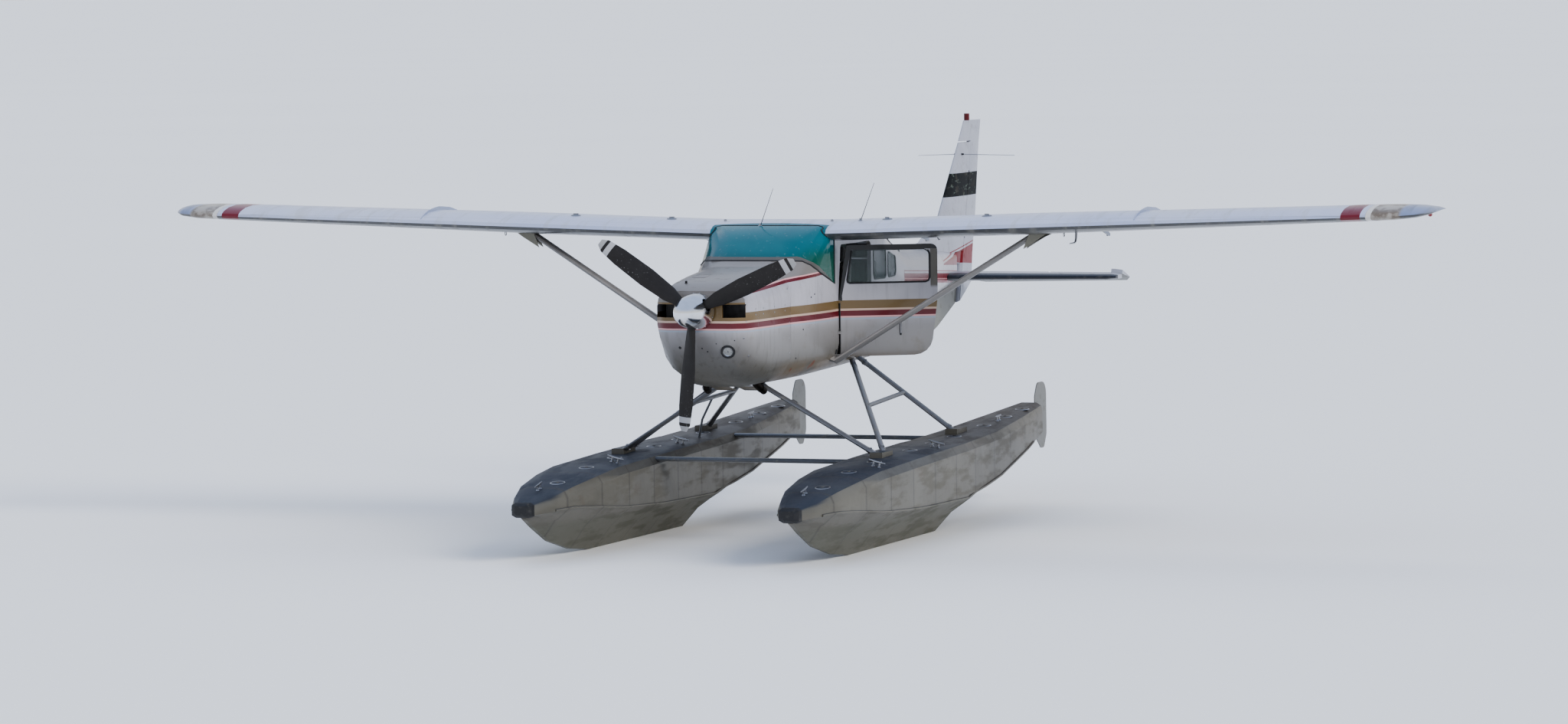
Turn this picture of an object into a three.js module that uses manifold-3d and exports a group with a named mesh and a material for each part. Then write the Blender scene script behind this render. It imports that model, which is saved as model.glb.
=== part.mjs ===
// High-wing single-engine floatplane with six seats, standing on its two floats.
// Millimetres. Aft is the distance behind the crankshaft's flange, up the height above the thrust line,
// and out the distance from the middle plane, positive to port.

import * as THREE from 'three';
import { mergeVertices } from 'three/addons/utils/BufferGeometryUtils.js';
import Module from 'manifold-3d';

const wasm = await Module();
wasm.setup();

// Driving sizes
const THRUST_HEIGHT = 2230;
const BOW_END = -1125;
const RUDDER_END = 8275;
const HALF_SPAN = 6280;
const SEAT_GAP = 0.3;
const DOOR_GAP = 6;
const COVE_GAP = 8;
const PIN = 6;
const PIN_HOLE = 6.8;
const SIDES = [['port', 1], ['starboard', -1]];
const DEGREE = Math.PI / 180;

// Fuselage
const FIREWALL = 1140;
const TAIL_END = 7280;
const CABIN_WALL = 40;
const CABIN_FLOOR = -560;
const CABIN_BACK = 4330;
const TAIL_WALL = 22;
const ROOF_HALF = 600;

// Wing
const WING_LEAD = 1900;
const WING_CHORD = 1626;
const WING_RISE = 605;
const DIHEDRAL = Math.tan(1.73 * DEGREE);
const BEND_OUT = 2540;
const RIB_OUT = 5730;
const RIB_CHORD = 1130;
const FLAP_SPAN = [622, 3410];
const AILERON_SPAN = [3452, 5688];
const FLAP_HINGE_AFT = 3286;
const FLAP_HINGE_DROP = 132;
const FLAP_NOSE = 190;
const AILERON_HINGE = 0.78;
const STRUT_WIDTH = 112;
const STRUT_THICKNESS = 54;

// Pilot's door, port
const DOOR_FRONT = 2190;
const DOOR_BACK = 3130;
const DOOR_TOP = 500;
const DOOR_SILL = -545;
const DOOR_OPEN = 60;

// Tail
const ELEVATOR_HINGE = 7330;
const STABILIZER_UP = -28;
const TAIL_HALF = 1860;
const ELEVATOR_DROOP = 14;
const RUDDER_HINGE = [[7480, -105], [7890, 1300]];

// Floats
const FLOAT_OUT = 1280;
const STEP_AFT = 2850;
const STERN = 5850;
const FRONT_FOOT = 1400;
const REAR_FOOT = 3570;

// Propeller: the blades stand ahead of the spinner's rim
const BLADE_REACH = 1092;
const DISC_AHEAD = 70;
const SPINNER_RADIUS = 165;
const BLADE_TURN = -0.09;

const paint = (color, roughness, metalness) => ({ color, roughness, metalness });
const WHITE = paint(0xe9e9e6, 0.45, 0.0);
const GREY = paint(0x9a9b9a, 0.5, 0.3);
const METAL = paint(0x8d9196, 0.45, 0.7);
const BLACK = paint(0x1c1c1e, 0.6, 0.1);
const CHROME = paint(0xd8dadd, 0.15, 1.0);
const GLASS = paint(0x9fc4bd, 0.1, 0.0);
const TEAL = paint(0x0e7f8c, 0.15, 0.0);
const SEAT = paint(0x6d6a62, 0.9, 0.0);

const plane = new THREE.Group();
plane.position.set(0, -(BOW_END + RUDDER_END) / 2, THRUST_HEIGHT);

// Solids

const point = (out, aft, up) => new THREE.Vector3(out, aft, up);

function capTriangles(ring) {
  const normal = ring.reduce((sum, p, i) =>
    sum.add(new THREE.Vector3().crossVectors(p, ring[(i + 1) % ring.length])), new THREE.Vector3());
  const size = (key) => Math.abs(normal[key]);
  const flat = ['x', 'y', 'z'].reduce((best, key) => (size(key) > size(best) ? key : best), 'x');
  const [first, second] = ['x', 'y', 'z'].filter((key) => key !== flat);
  const outline = ring.map((p) => new THREE.Vector2(p[first], p[second]));
  return THREE.ShapeUtils.triangulateShape(outline, []);
}

function signedVolume(points, faces) {
  return faces.reduce((sum, [a, b, c]) => {
    const normal = new THREE.Vector3().crossVectors(points[b], points[c]);
    return sum + points[a].dot(normal) / 6;
  }, 0);
}

// A closed solid through rings that all have the same number of points
function loft(rings) {
  const count = rings[0].length;
  const points = rings.flat();
  const faces = [];
  for (let r = 0; r + 1 < rings.length; r += 1) {
    for (let i = 0; i < count; i += 1) {
      const a = r * count + i;
      const b = r * count + ((i + 1) % count);
      faces.push([a, b, b + count], [a, b + count, a + count]);
    }
  }
  const last = (rings.length - 1) * count;
  const start = capTriangles(rings[0]);
  const end = capTriangles(rings[rings.length - 1]);
  const runsAlong = (triangles) => triangles.some((t) => t.some((v, k) => v === 0 && t[(k + 1) % 3] === 1));
  faces.push(...start.map(([a, b, c]) => (runsAlong(start) ? [a, c, b] : [a, b, c])));
  faces.push(...end.map(([a, b, c]) => (runsAlong(end) ? [a, b, c] : [a, c, b]).map((v) => v + last)));
  const outward = signedVolume(points, faces) > 0;
  const index = faces.flatMap(([a, b, c]) => (outward ? [a, b, c] : [a, c, b]));
  const geometry = new THREE.BufferGeometry();
  const places = points.flatMap((p) => p.toArray());
  geometry.setAttribute('position', new THREE.Float32BufferAttribute(places, 3));
  geometry.setIndex(index);
  return geometry;
}

function toSolid(source) {
  let geometry = source.clone();
  geometry.deleteAttribute('normal');
  geometry.deleteAttribute('uv');
  geometry = mergeVertices(geometry, 1e-3);
  const vertProperties = new Float32Array(geometry.attributes.position.array);
  const triVerts = new Uint32Array(geometry.index.array);
  return new wasm.Manifold(new wasm.Mesh({ numProp: 3, vertProperties, triVerts }));
}

function toGeometry(solid) {
  const mesh = solid.getMesh();
  const geometry = new THREE.BufferGeometry();
  geometry.setAttribute('position', new THREE.BufferAttribute(new Float32Array(mesh.vertProperties), 3));
  geometry.setIndex(new THREE.BufferAttribute(new Uint32Array(mesh.triVerts), 1));
  return geometry;
}

const lofted = (rings) => toSolid(loft(rings));
const join = (solids) => solids.reduce((whole, next) => whole.add(next));
const cut = (solid, cutters) => cutters.reduce((whole, next) => whole.subtract(next), solid);

function block(low, high) {
  const size = high.map((v, k) => v - low[k]);
  const geometry = new THREE.BoxGeometry(...size);
  geometry.translate(...low.map((v, k) => v + size[k] / 2));
  return toSolid(geometry);
}

// A round bar between two points
function bar(start, end, radius, sides = 10) {
  const from = point(...start);
  const to = point(...end);
  const geometry = new THREE.CylinderGeometry(radius, radius, from.distanceTo(to), sides);
  const turn = new THREE.Quaternion().setFromUnitVectors(point(0, 1, 0), to.clone().sub(from).normalize());
  geometry.applyQuaternion(turn);
  geometry.translate(...from.add(to).multiplyScalar(0.5).toArray());
  return toSolid(geometry);
}

// A streamlined bar between two points: long is its width along the aircraft, thin its thickness
function fairedBar(start, end, long, thin) {
  const sides = 10;
  const from = point(...start);
  const to = point(...end);
  const run = to.clone().sub(from).normalize();
  const across = new THREE.Vector3().crossVectors(run, point(0, 1, 0)).normalize();
  const along = new THREE.Vector3().crossVectors(across, run);
  const ring = (centre) => Array.from({ length: sides }, (_, i) => {
    const angle = (i / sides) * 2 * Math.PI;
    return centre.clone()
      .addScaledVector(along, (long / 2) * Math.cos(angle))
      .addScaledVector(across, (thin / 2) * Math.sin(angle));
  });
  return lofted([ring(from), ring(to)]);
}

// Corners as [aft, up, radius] become an outline whose corners are arcs
function rounded(corners, steps = 4) {
  return corners.flatMap(([aft, up, radius], i) => {
    const here = new THREE.Vector2(aft, up);
    if (!radius) {
      return [here];
    }
    const before = new THREE.Vector2(...corners[(i + corners.length - 1) % corners.length]);
    const after = new THREE.Vector2(...corners[(i + 1) % corners.length]);
    const back = before.sub(here).normalize();
    const forth = after.sub(here).normalize();
    const half = Math.acos(THREE.MathUtils.clamp(back.dot(forth), -1, 1)) / 2;
    const reach = radius / Math.tan(half);
    const centre = here.clone().addScaledVector(back.clone().add(forth).normalize(), radius / Math.sin(half));
    const first = here.clone().addScaledVector(back, reach).sub(centre);
    const lastArm = here.clone().addScaledVector(forth, reach).sub(centre);
    const sweep = Math.atan2(first.cross(lastArm), first.dot(lastArm));
    return Array.from({ length: steps + 1 }, (_, k) =>
      first.clone().rotateAround(new THREE.Vector2(), (sweep * k) / steps).add(centre));
  });
}

// A plate with a side outline, from one distance out to another
function sidePlate(outline, fromOut, toOut) {
  const ring = (out) => outline.map((p) => point(out, p.x, p.y));
  return lofted([ring(fromOut), ring(toOut)]);
}

// The same side outline, grown outwards by a gap
function grown(corners, gap) {
  const mean = (key) => corners.reduce((sum, corner) => sum + corner[key], 0) / corners.length;
  const [midAft, midUp] = [mean(0), mean(1)];
  return corners.map(([a, u, r = 0]) => [a + gap * Math.sign(a - midAft), u + gap * Math.sign(u - midUp),
    r ? r + gap : 0]);
}

function addPiece(name, solid, finish, parent = plane) {
  const mesh = new THREE.Mesh(toGeometry(solid), new THREE.MeshStandardMaterial(finish));
  mesh.name = name;
  parent.add(mesh);
  return mesh;
}

// Fuselage and cowling sections: aft, half width, top, bottom, radius of the upper and the lower corners
const HULL = [
  [1140, 505, 348, -725, 280, 300],
  [1330, 540, 392, -722, 300, 300],
  [1620, 575, 565, -712, 330, 290],
  [1950, 598, 690, -697, 120, 280],
  [2700, 600, 700, -672, 100, 260],
  [3530, 585, 640, -642, 130, 250],
  [3950, 535, 545, -575, 200, 250],
  [4700, 425, 385, -455, 230, 240],
  [5900, 258, 285, -265, 170, 160],
  [7000, 120, 215, -118, 80, 80],
  [TAIL_END, 62, 195, -92, 45, 45],
];
const COWL = [
  [75, 330, 180, -240, 150, 170],
  [150, 430, 210, -410, 170, 280],
  [380, 465, 255, -635, 210, 310],
  [700, 488, 300, -732, 245, 310],
  [FIREWALL - SEAT_GAP, 505, 348, -725, 280, 300],
];

function hullRing([aft, half, top, bottom, crown, bilge], inset = 0) {
  const steps = 4;
  const width = half - inset;
  const high = top - inset;
  const low = bottom + inset;
  const corners = [
    [width, high, -1, -1, Math.max(crown - inset, 8), 0],
    [-width, high, 1, -1, Math.max(crown - inset, 8), 1],
    [-width, low, 1, 1, Math.max(bilge - inset, 8), 2],
    [width, low, -1, 1, Math.max(bilge - inset, 8), 3],
  ];
  return corners.flatMap(([out, up, inward, upward, radius, quarter]) =>
    Array.from({ length: steps + 1 }, (_, k) => {
      const angle = (quarter + k / steps) * (Math.PI / 2);
      return point(out + inward * radius + radius * Math.cos(angle), aft,
        up + upward * radius + radius * Math.sin(angle));
    }));
}

function hullAt(table, aft) {
  const next = Math.max(1, table.findIndex((row) => row[0] >= aft));
  const [a, b] = [table[next - 1], table[next]];
  const share = (aft - a[0]) / (b[0] - a[0]);
  return a.map((v, k) => v + share * (b[k] - v));
}

const hull = (table, inset = 0) => lofted(table.map((row) => hullRing(row, inset)));
const hullBetween = (table, from, to, inset) => {
  const inside = table.filter((row) => row[0] > from && row[0] < to);
  return lofted([hullAt(table, from), ...inside, hullAt(table, to)].map((row) => hullRing(row, inset)));
};

// Aerofoils

const FRACTIONS = [0, 0.0125, 0.05, 0.15, 0.3, 0.5, 0.72, 0.88, 1];

function halfThickness(f) {
  return 5 * (0.2969 * Math.sqrt(f) - 0.126 * f - 0.3516 * f ** 2 + 0.2843 * f ** 3 - 0.1 * f ** 4);
}

function camberLine(f, camber) {
  const peak = 0.4;
  const side = f < peak ? peak ** 2 : (1 - peak) ** 2;
  const base = f < peak ? 0 : 1 - 2 * peak;
  return (camber / side) * (base + 2 * peak * f - f ** 2);
}

// Points of a section as [along, height] from its leading edge, over the top and back below
function sectionPoints(chord, thickness, camber, grow = 0) {
  const place = (f, side) => {
    const half = halfThickness(f) * thickness * chord + grow;
    const stretch = grow * (2 * f - 1);
    return [f * chord + stretch, camberLine(f, camber) * chord + side * half];
  };
  const upper = FRACTIONS.slice(1).map((f) => place(f, 1)).reverse();
  const lower = FRACTIONS.slice(1).map((f) => place(f, -1));
  return [...upper, [-grow, 0], ...lower];
}

// Wing sections: out, leading edge, chord, up, incidence in degrees
const WING = [
  [ROOF_HALF + SEAT_GAP, WING_LEAD, WING_CHORD, WING_RISE + DIHEDRAL * ROOF_HALF, 1.5],
  [BEND_OUT, WING_LEAD, WING_CHORD, WING_RISE + DIHEDRAL * BEND_OUT, 1.0],
  [RIB_OUT, WING_LEAD + 100, RIB_CHORD, WING_RISE + DIHEDRAL * RIB_OUT, -1.5],
];
const WING_THICKNESS = 0.12;
const WING_CAMBER = 0.02;

function wingAt(out) {
  const next = out > BEND_OUT ? 2 : 1;
  const [a, b] = [WING[next - 1], WING[next]];
  const share = (out - a[0]) / (b[0] - a[0]);
  return a.map((v, k) => v + share * (b[k] - v));
}

function wingPoint([out, lead, , up, incidence], along, height, side = 1) {
  const angle = incidence * DEGREE;
  return point(side * out, lead + along * Math.cos(angle) + height * Math.sin(angle),
    up - along * Math.sin(angle) + height * Math.cos(angle));
}

function wingRing(row, side, grow = 0, thin = 1) {
  return sectionPoints(row[2], WING_THICKNESS * thin, WING_CAMBER, grow)
    .map(([along, height]) => wingPoint(row, along, height, side));
}

// The space that a hinged surface takes: a quarter disc ahead of the hinge line and all that is behind it
function hingedRegion(hinges, radius, behind, above, steps = 7) {
  const ring = ([out, aft, up, size = radius]) => {
    const arc = Array.from({ length: steps + 1 }, (_, k) => {
      const angle = Math.PI / 2 + (k / steps) * (Math.PI / 2);
      return point(out, aft + size * Math.cos(angle), up + size * Math.sin(angle));
    });
    return [point(out, aft + behind, up), point(out, aft + behind, up + above),
      point(out, aft, up + above), ...arc];
  };
  return lofted(hinges.map(ring));
}

function roundNosed(hinges, extra, behind, steps = 8) {
  const ring = ([out, aft, up, radius]) => {
    const size = radius + extra;
    const arc = Array.from({ length: steps + 1 }, (_, k) => {
      const angle = Math.PI / 2 + (k / steps) * Math.PI;
      return point(out, aft + size * Math.cos(angle), up + size * Math.sin(angle));
    });
    return [point(out, aft, up - 3 * size), point(out, aft + behind, up - 3 * size),
      point(out, aft + behind, up + 3 * size), point(out, aft, up + 3 * size), ...arc];
  };
  return lofted(hinges.map(ring));
}

function flapHinges([inner, outer], side) {
  return [inner, outer].map((out) =>
    [side * out, FLAP_HINGE_AFT, WING_RISE + DIHEDRAL * out - FLAP_HINGE_DROP]);
}

function aileronHinges([inner, outer], side) {
  return [inner, outer].map((out) => {
    const row = wingAt(out);
    const half = halfThickness(AILERON_HINGE) * WING_THICKNESS * row[2];
    const middle = camberLine(AILERON_HINGE, WING_CAMBER) * row[2];
    const centre = wingPoint(row, AILERON_HINGE * row[2], middle, side);
    return [centre.x, centre.y, centre.z, half * 1.1];
  });
}

// A point some way along the line between the ends of a hinge
function alongHinge([start, end], share) {
  return [0, 1, 2].map((k) => start[k] + share * (end[k] - start[k]));
}

// Hinge arm of a control surface: a fixed arm with a pin, and the slot and pin holes in the surface.
// The hinge line runs mainly along the key axis: 0 for out, 2 for up.
function hingeArm(hinge, share, key) {
  const centre = alongHinge(hinge, share);
  const length = Math.hypot(...[0, 1, 2].map((k) => hinge[1][k] - hinge[0][k]));
  const reach = (distance) => alongHinge(hinge, share + distance / length);
  const other = 2 - key;
  const box = (thick, deep, ahead, behind) => {
    const low = [0, centre[1] - ahead, 0];
    const high = [0, centre[1] + behind, 0];
    low[key] = centre[key] - thick;
    high[key] = centre[key] + thick;
    low[other] = centre[other] - deep;
    high[other] = centre[other] + deep;
    return block(low, high);
  };
  return {
    fixed: box(5, 9, 72, 9).add(bar(reach(-25), reach(25), PIN)),
    slot: box(13, 70, 70, 22).add(bar(reach(-27), reach(27), PIN_HOLE, 12)),
  };
}

// Flap hinge under the wing: an arm of the wing with a pin, and a lug of the flap with a hole for it
const FLAP_ARM = [[-292, 115], [-214, 115], [-214, 58], [-60, 34], [8, 14], [14, -4], [4, -14], [-14, -12],
  [-285, 52]];
const FLAP_LUG = [[-14, -10], [-6, -15], [8, -14], [15, 0], [18, 122], [-22, 122]];

function flapHinge(side, out) {
  const [x, aft, up] = flapHinges([out, out], side)[0];
  const plate = (outline, inner, outer) => sidePlate(
    outline.map(([a, u]) => new THREE.Vector2(aft + a, up + u)), x + side * inner, x + side * outer);
  const reach = (distance) => [x + side * distance, aft, up + DIHEDRAL * distance];
  return {
    fixed: plate(FLAP_ARM, 14, 24).add(bar(reach(-9), reach(20), PIN)),
    lug: plate(FLAP_LUG, -5, 5),
    hole: bar(reach(-12), reach(12), PIN_HOLE, 12),
  };
}

function buildWing(name, side) {
  const whole = lofted(WING.map((row) => wingRing(row, side)));
  const widen = ([inner, outer]) => [inner - 10, outer + 10];
  const flapInner = [ROOF_HALF - 20, FLAP_SPAN[1] + 10];
  const flapSpace = hingedRegion(flapHinges(FLAP_SPAN, side), FLAP_NOSE, 600, 400);
  const flapCove = hingedRegion(flapHinges(flapInner, side), FLAP_NOSE + COVE_GAP, 600, 400);
  const aileronSpace = roundNosed(aileronHinges(AILERON_SPAN, side), 0, 600);
  const aileronCove = roundNosed(aileronHinges(widen(AILERON_SPAN), side), COVE_GAP, 600);
  const arms = [0.25, 0.75].map((share) => hingeArm(aileronHinges(AILERON_SPAN, side), share, 0));
  const brackets = [1100, 2900].map((out) => flapHinge(side, out));
  const fixed = [...arms, ...brackets].map((hinge) => hinge.fixed);
  addPiece(`wing_${name}`, join([cut(whole, [flapCove, aileronCove]), ...fixed]), WHITE);
  const flap = join([whole.intersect(flapSpace), ...brackets.map((hinge) => hinge.lug)]);
  addPiece(`flap_${name}`, cut(flap, brackets.map((hinge) => hinge.hole)), WHITE);
  addPiece(`aileron_${name}`, cut(whole.intersect(aileronSpace), arms.map((arm) => arm.slot)), WHITE);
}

// Tip extension sections: out, leading edge, chord, thickness share, rise above the rib's level
const TIP = [
  [RIB_OUT + SEAT_GAP, WING_LEAD + 100, RIB_CHORD, 1, 0],
  [5970, WING_LEAD + 118, 1085, 0.98, 0],
  [6160, WING_LEAD + 190, 930, 0.9, 6],
  [6240, WING_LEAD + 290, 740, 0.75, 12],
  [HALF_SPAN, WING_LEAD + 420, 500, 0.5, 18],
];

function buildTip(name, side) {
  const rings = TIP.map(([out, lead, chord, thin, rise]) =>
    wingRing([out, lead, chord, WING_RISE + DIHEDRAL * out + rise, -1.5], side, 0, thin));
  addPiece(`wing_tip_${name}`, lofted(rings), WHITE);
}

function buildStrut(name, side) {
  const foot = [side * 595, 2110, -574];
  const root = [side * 440, 2110, -520];
  const head = wingPoint(wingAt(2635), 350, 0, side);
  const wing = lofted(WING.map((row) => wingRing(row, side, SEAT_GAP)));
  const raw = fairedBar(foot, head.toArray(), STRUT_WIDTH, STRUT_THICKNESS)
    .add(fairedBar(root, foot, STRUT_WIDTH, STRUT_THICKNESS));
  addPiece(`wing_strut_${name}`, cut(raw, [wing, hull(HULL, -SEAT_GAP)]), GREY);
}

// Cabin roof between the wing roots, and the space above the cabin that it and the sky take
function roofRing(out, grow) {
  return wingRing([out, WING_LEAD, WING_CHORD, WING_RISE + DIHEDRAL * ROOF_HALF, 1.5], 1, grow);
}

const roof = lofted([roofRing(-ROOF_HALF, 0), roofRing(ROOF_HALF, 0)]);
const roofSpace = lofted([roofRing(-ROOF_HALF - 40, SEAT_GAP), roofRing(ROOF_HALF + 40, SEAT_GAP)]);
const skyOutline = [[WING_LEAD + 200, WING_RISE], [WING_LEAD + WING_CHORD - 12, WING_RISE - 20],
  [WING_LEAD + WING_CHORD - 12, 1200], [WING_LEAD + 200, 1200]].map((p) => new THREE.Vector2(...p));
const sky = sidePlate(skyOutline, -700, 700);

// Side outlines with corners as [aft, up, radius], and the side they are on
const PILOT_DOOR = [[DOOR_FRONT, DOOR_SILL, 30], [DOOR_BACK - 70, DOOR_SILL, 170], [DOOR_BACK, 0, 0],
  [DOOR_BACK, DOOR_TOP, 60], [DOOR_FRONT + 70, DOOR_TOP, 30], [DOOR_FRONT, 30, 0]];
const PILOT_WINDOW = [[DOOR_FRONT + 70, 145, 25], [DOOR_BACK - 75, 145, 40],
  [DOOR_BACK - 75, DOOR_TOP - 45, 60], [DOOR_FRONT + 115, DOOR_TOP - 45, 25]];
const CARGO_FRONT = [[3080, -480, 60], [3570, -480, 0], [3570, 430, 0], [3080, 430, 40]];
const CARGO_REAR = [[3582, -480, 0], [4080, -430, 90], [4080, 300, 60], [3860, 385, 40], [3582, 430, 0]];
const CARGO_FRONT_WINDOW = [[3145, 130, 40], [3515, 130, 30], [3515, 375, 30], [3145, 380, 40]];
const CARGO_REAR_WINDOW = [[3640, 130, 30], [3990, 130, 50], [3960, 290, 60], [3640, 360, 30]];
const STARBOARD_WINDOW = [[2200, 145, 30], [2960, 145, 50], [2960, 440, 60], [2245, 440, 30]];
const PORT_MIDDLE_WINDOW = [[3200, 130, 50], [3600, 130, 40], [3600, 405, 50], [3200, 430, 50]];
const PORT_AFT_WINDOW = [[3690, 130, 40], [4070, 130, 60], [4030, 320, 70], [3690, 388, 40]];
const WINDSHIELD = [[1290, 398], [1512, 385], [1700, 280], [2080, 148], [2080, 800], [1250, 800]];
const REAR_WINDOW = [[3700, 490], [4450, 340], [4450, 700], [3700, 800]];

// Shells of the fuselage: outside, cabin space and tail space
const outside = hull(HULL);
const cabinFloor = block([-700, FIREWALL - 100, -900], [700, CABIN_BACK + 100, CABIN_FLOOR]);
const cabinSpace = hullBetween(HULL, FIREWALL + 30, CABIN_BACK, CABIN_WALL).subtract(cabinFloor);
const tailSpace = hullBetween(HULL, CABIN_BACK + 30, 6500, TAIL_WALL);
const tailHatch = block([-150, CABIN_BACK - 20, -100], [150, CABIN_BACK + 60, 150]);
const wall = outside.subtract(cabinSpace);

// A window or door is a piece of the wall inside an outline
function cutPanel(corners, side, gap = 0) {
  const outline = rounded(gap ? grown(corners, gap) : corners);
  return sidePlate(outline, side * 300, side * 760);
}

// Window panes are thinner than the wall: they keep to its outer skin
const behindPane = hullBetween(HULL, FIREWALL + 10, CABIN_BACK + 30, 22);

function buildPane(name, corners, side, finish = GLASS, parent = plane) {
  const pane = outside.intersect(cutPanel(corners, side)).subtract(behindPane);
  addPiece(name, pane, finish, parent);
}

const acrossHull = (outline, half) =>
  sidePlate(outline.map((corner) => new THREE.Vector2(...corner)), -half, half);

const windshieldSpace = acrossHull(WINDSHIELD, 700);
const windshieldHole = acrossHull(grown(WINDSHIELD, SEAT_GAP), 720);
const rearSpace = acrossHull(REAR_WINDOW, 700);
const rearHole = acrossHull(grown(REAR_WINDOW, SEAT_GAP), 720);

// Tailplane sections: out, leading edge, trailing edge
const TAILPLANE = [
  [-TAIL_HALF, 6930, 7420],
  [-1780, 6838, 7590],
  [0, 6640, 7735],
  [1780, 6838, 7590],
  [TAIL_HALF, 6930, 7420],
];

function tailRing([out, lead, end], grow = 0) {
  return sectionPoints(end - lead, 0.085, 0, grow).map(([along, height]) =>
    point(out, lead + along, STABILIZER_UP + height));
}

const tailWhole = lofted(TAILPLANE.map((row) => tailRing(row)));
const tailGrown = lofted(TAILPLANE.map((row) => tailRing(row, SEAT_GAP + 0.2)));
const ELEVATOR_NOSE = 36;
const HORN_OUT = 1730;
const HORN_AFT = 7152;

function buildTailplane() {
  const far = TAIL_HALF + 240;
  const hinge = [-TAIL_HALF, TAIL_HALF].map((out) => [out, ELEVATOR_HINGE, STABILIZER_UP]);
  const noseLine = [-TAIL_HALF - 20, TAIL_HALF + 20].map((out) =>
    [out, ELEVATOR_HINGE, STABILIZER_UP, ELEVATOR_NOSE]);
  const cove = roundNosed(noseLine, COVE_GAP, 600);
  const tipSpaces = (inner, front) => SIDES.map(([, side]) => block(
    [Math.min(side * inner, side * far), front, -200], [Math.max(side * inner, side * far), 8000, 300]));
  const fixed = cut(tailWhole, [cove, ...tipSpaces(HORN_OUT, HORN_AFT - 12)]);
  const arms = [0.22, 0.78].map((share) => hingeArm(hinge, share, 0));
  addPiece('stabilizer', join([fixed, ...arms.map((arm) => arm.fixed)]), WHITE);
  const behind = join([roundNosed(noseLine, 0, 600), ...tipSpaces(HORN_OUT + 12, HORN_AFT)]);
  const notchOutline = [[ELEVATOR_HINGE - 60, -58], [ELEVATOR_HINGE - 60, 58], [7800, 265], [7800, -265]];
  const notchRing = (up) => notchOutline.map(([aft, out]) => point(out, aft, up));
  const notch = lofted([notchRing(-100), notchRing(200)]);
  const tube = bar([-90, ELEVATOR_HINGE, STABILIZER_UP], [90, ELEVATOR_HINGE, STABILIZER_UP], 16);
  const level = cut(tailWhole.intersect(behind).subtract(notch).add(tube), arms.map((arm) => arm.slot));
  const hanging = level.translate([0, -ELEVATOR_HINGE, -STABILIZER_UP])
    .rotate([-ELEVATOR_DROOP, 0, 0])
    .translate([0, ELEVATOR_HINGE, STABILIZER_UP]);
  addPiece('elevator', hanging, WHITE);
}

// Fin and rudder: up, leading edge, trailing edge
const FIN = [
  [170, 6520, 7960],
  [560, 6870, 8065],
  [1300, 7540, 8205],
  [1530, 7735, RUDDER_END],
];
const FIN_THICKNESS = 0.085;
const RUDDER_FOOT = [-360, 6080, 7883];

// The slope that ends the rudder and the fin under the tail
const underTail = (aft) => -300 + 0.364 * (aft - 7430);
const BEACON_AFT = 7830;

// Fillet ahead of the fin: aft, half width, top
const DORSAL = [[5450, 5, 262], [6250, 18, 345], [6850, 40, 560], [6950, 40, 560]];

function hingeAftAt(up) {
  const [[lowAft, lowUp], [highAft, highUp]] = RUDDER_HINGE;
  return lowAft + ((up - lowUp) / (highUp - lowUp)) * (highAft - lowAft);
}

function finRing([up, lead, end], thickness = FIN_THICKNESS) {
  return sectionPoints(end - lead, thickness, 0).map(([along, height]) => point(height, lead + along, up));
}

function buildFin() {
  const whole = lofted([RUDDER_FOOT, ...FIN].map((row) => finRing(row)));
  const dorsal = lofted(DORSAL.map(([aft, half, up]) => [point(-half, aft, 120), point(half, aft, 120),
    point(half, aft, up - 20), point(0, aft, up), point(-half, aft, up - 20)]));
  const noses = (extra) => {
    const ring = (up, radius) => {
      const steps = 8;
      const size = radius + extra;
      const aft = hingeAftAt(up);
      const arc = Array.from({ length: steps + 1 }, (_, k) => {
        const angle = Math.PI / 2 + (k / steps) * Math.PI;
        return point(size * Math.sin(angle), aft + size * Math.cos(angle), up);
      });
      return [point(-150, aft, up), point(-150, aft + 900, up), point(150, aft + 900, up),
        point(150, aft, up), ...arc];
    };
    return lofted([ring(-360, 36), ring(1600, 24)]);
  };
  const hornLow = 1322;
  const hornSpace = block([-100, 7000, hornLow], [100, 8400, 1600]);
  const hornHole = block([-100, 7000, hornLow - 15], [100, 8400, 1600]);
  const keepOut = hull(HULL, -SEAT_GAP);
  const below = acrossHull([[6000, underTail(6000)], [6000, -1200], [8400, -1200], [8400, underTail(8400)]], 200);
  const hinge = RUDDER_HINGE.map(([aft, up]) => [0, aft, up]);
  const arms = [0.32, 0.79].map((share) => hingeArm(hinge, share, 2));
  const fin = cut(whole.add(dorsal), [keepOut, noses(COVE_GAP), hornHole,
    block([-200, 5000, -400], [200, 8400, 100]), block([-200, TAIL_END - 40, -400], [200, 8400, 205])]);
  addPiece('fin', join([fin, ...arms.map((arm) => arm.fixed)]), WHITE);
  const beacon = bar([0, BEACON_AFT, 1510], [0, BEACON_AFT, 1600], 28, 14);
  const rudder = whole.intersect(join([noses(0), hornSpace])).subtract(below).add(beacon);
  addPiece('rudder', cut(rudder, arms.map((arm) => arm.slot)), WHITE);
}

// Fin under the tail cone, ahead of the foot of the rudder: corners as [aft, up, radius]
function buildLowerFin() {
  const back = (up) => hingeAftAt(up) - 36 - COVE_GAP - 4;
  const outline = rounded([[5760, -200, 0], [back(-60), -60, 0], [back(-320), -320, 0],
    [6840, underTail(6840), 60], [6690, -560, 90], [5800, -290, 0]]);
  addPiece('lower_fin', sidePlate(outline, -9, 9).subtract(hull(HULL, -SEAT_GAP)), WHITE);
}

buildTailplane();
buildFin();
buildLowerFin();

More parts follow.
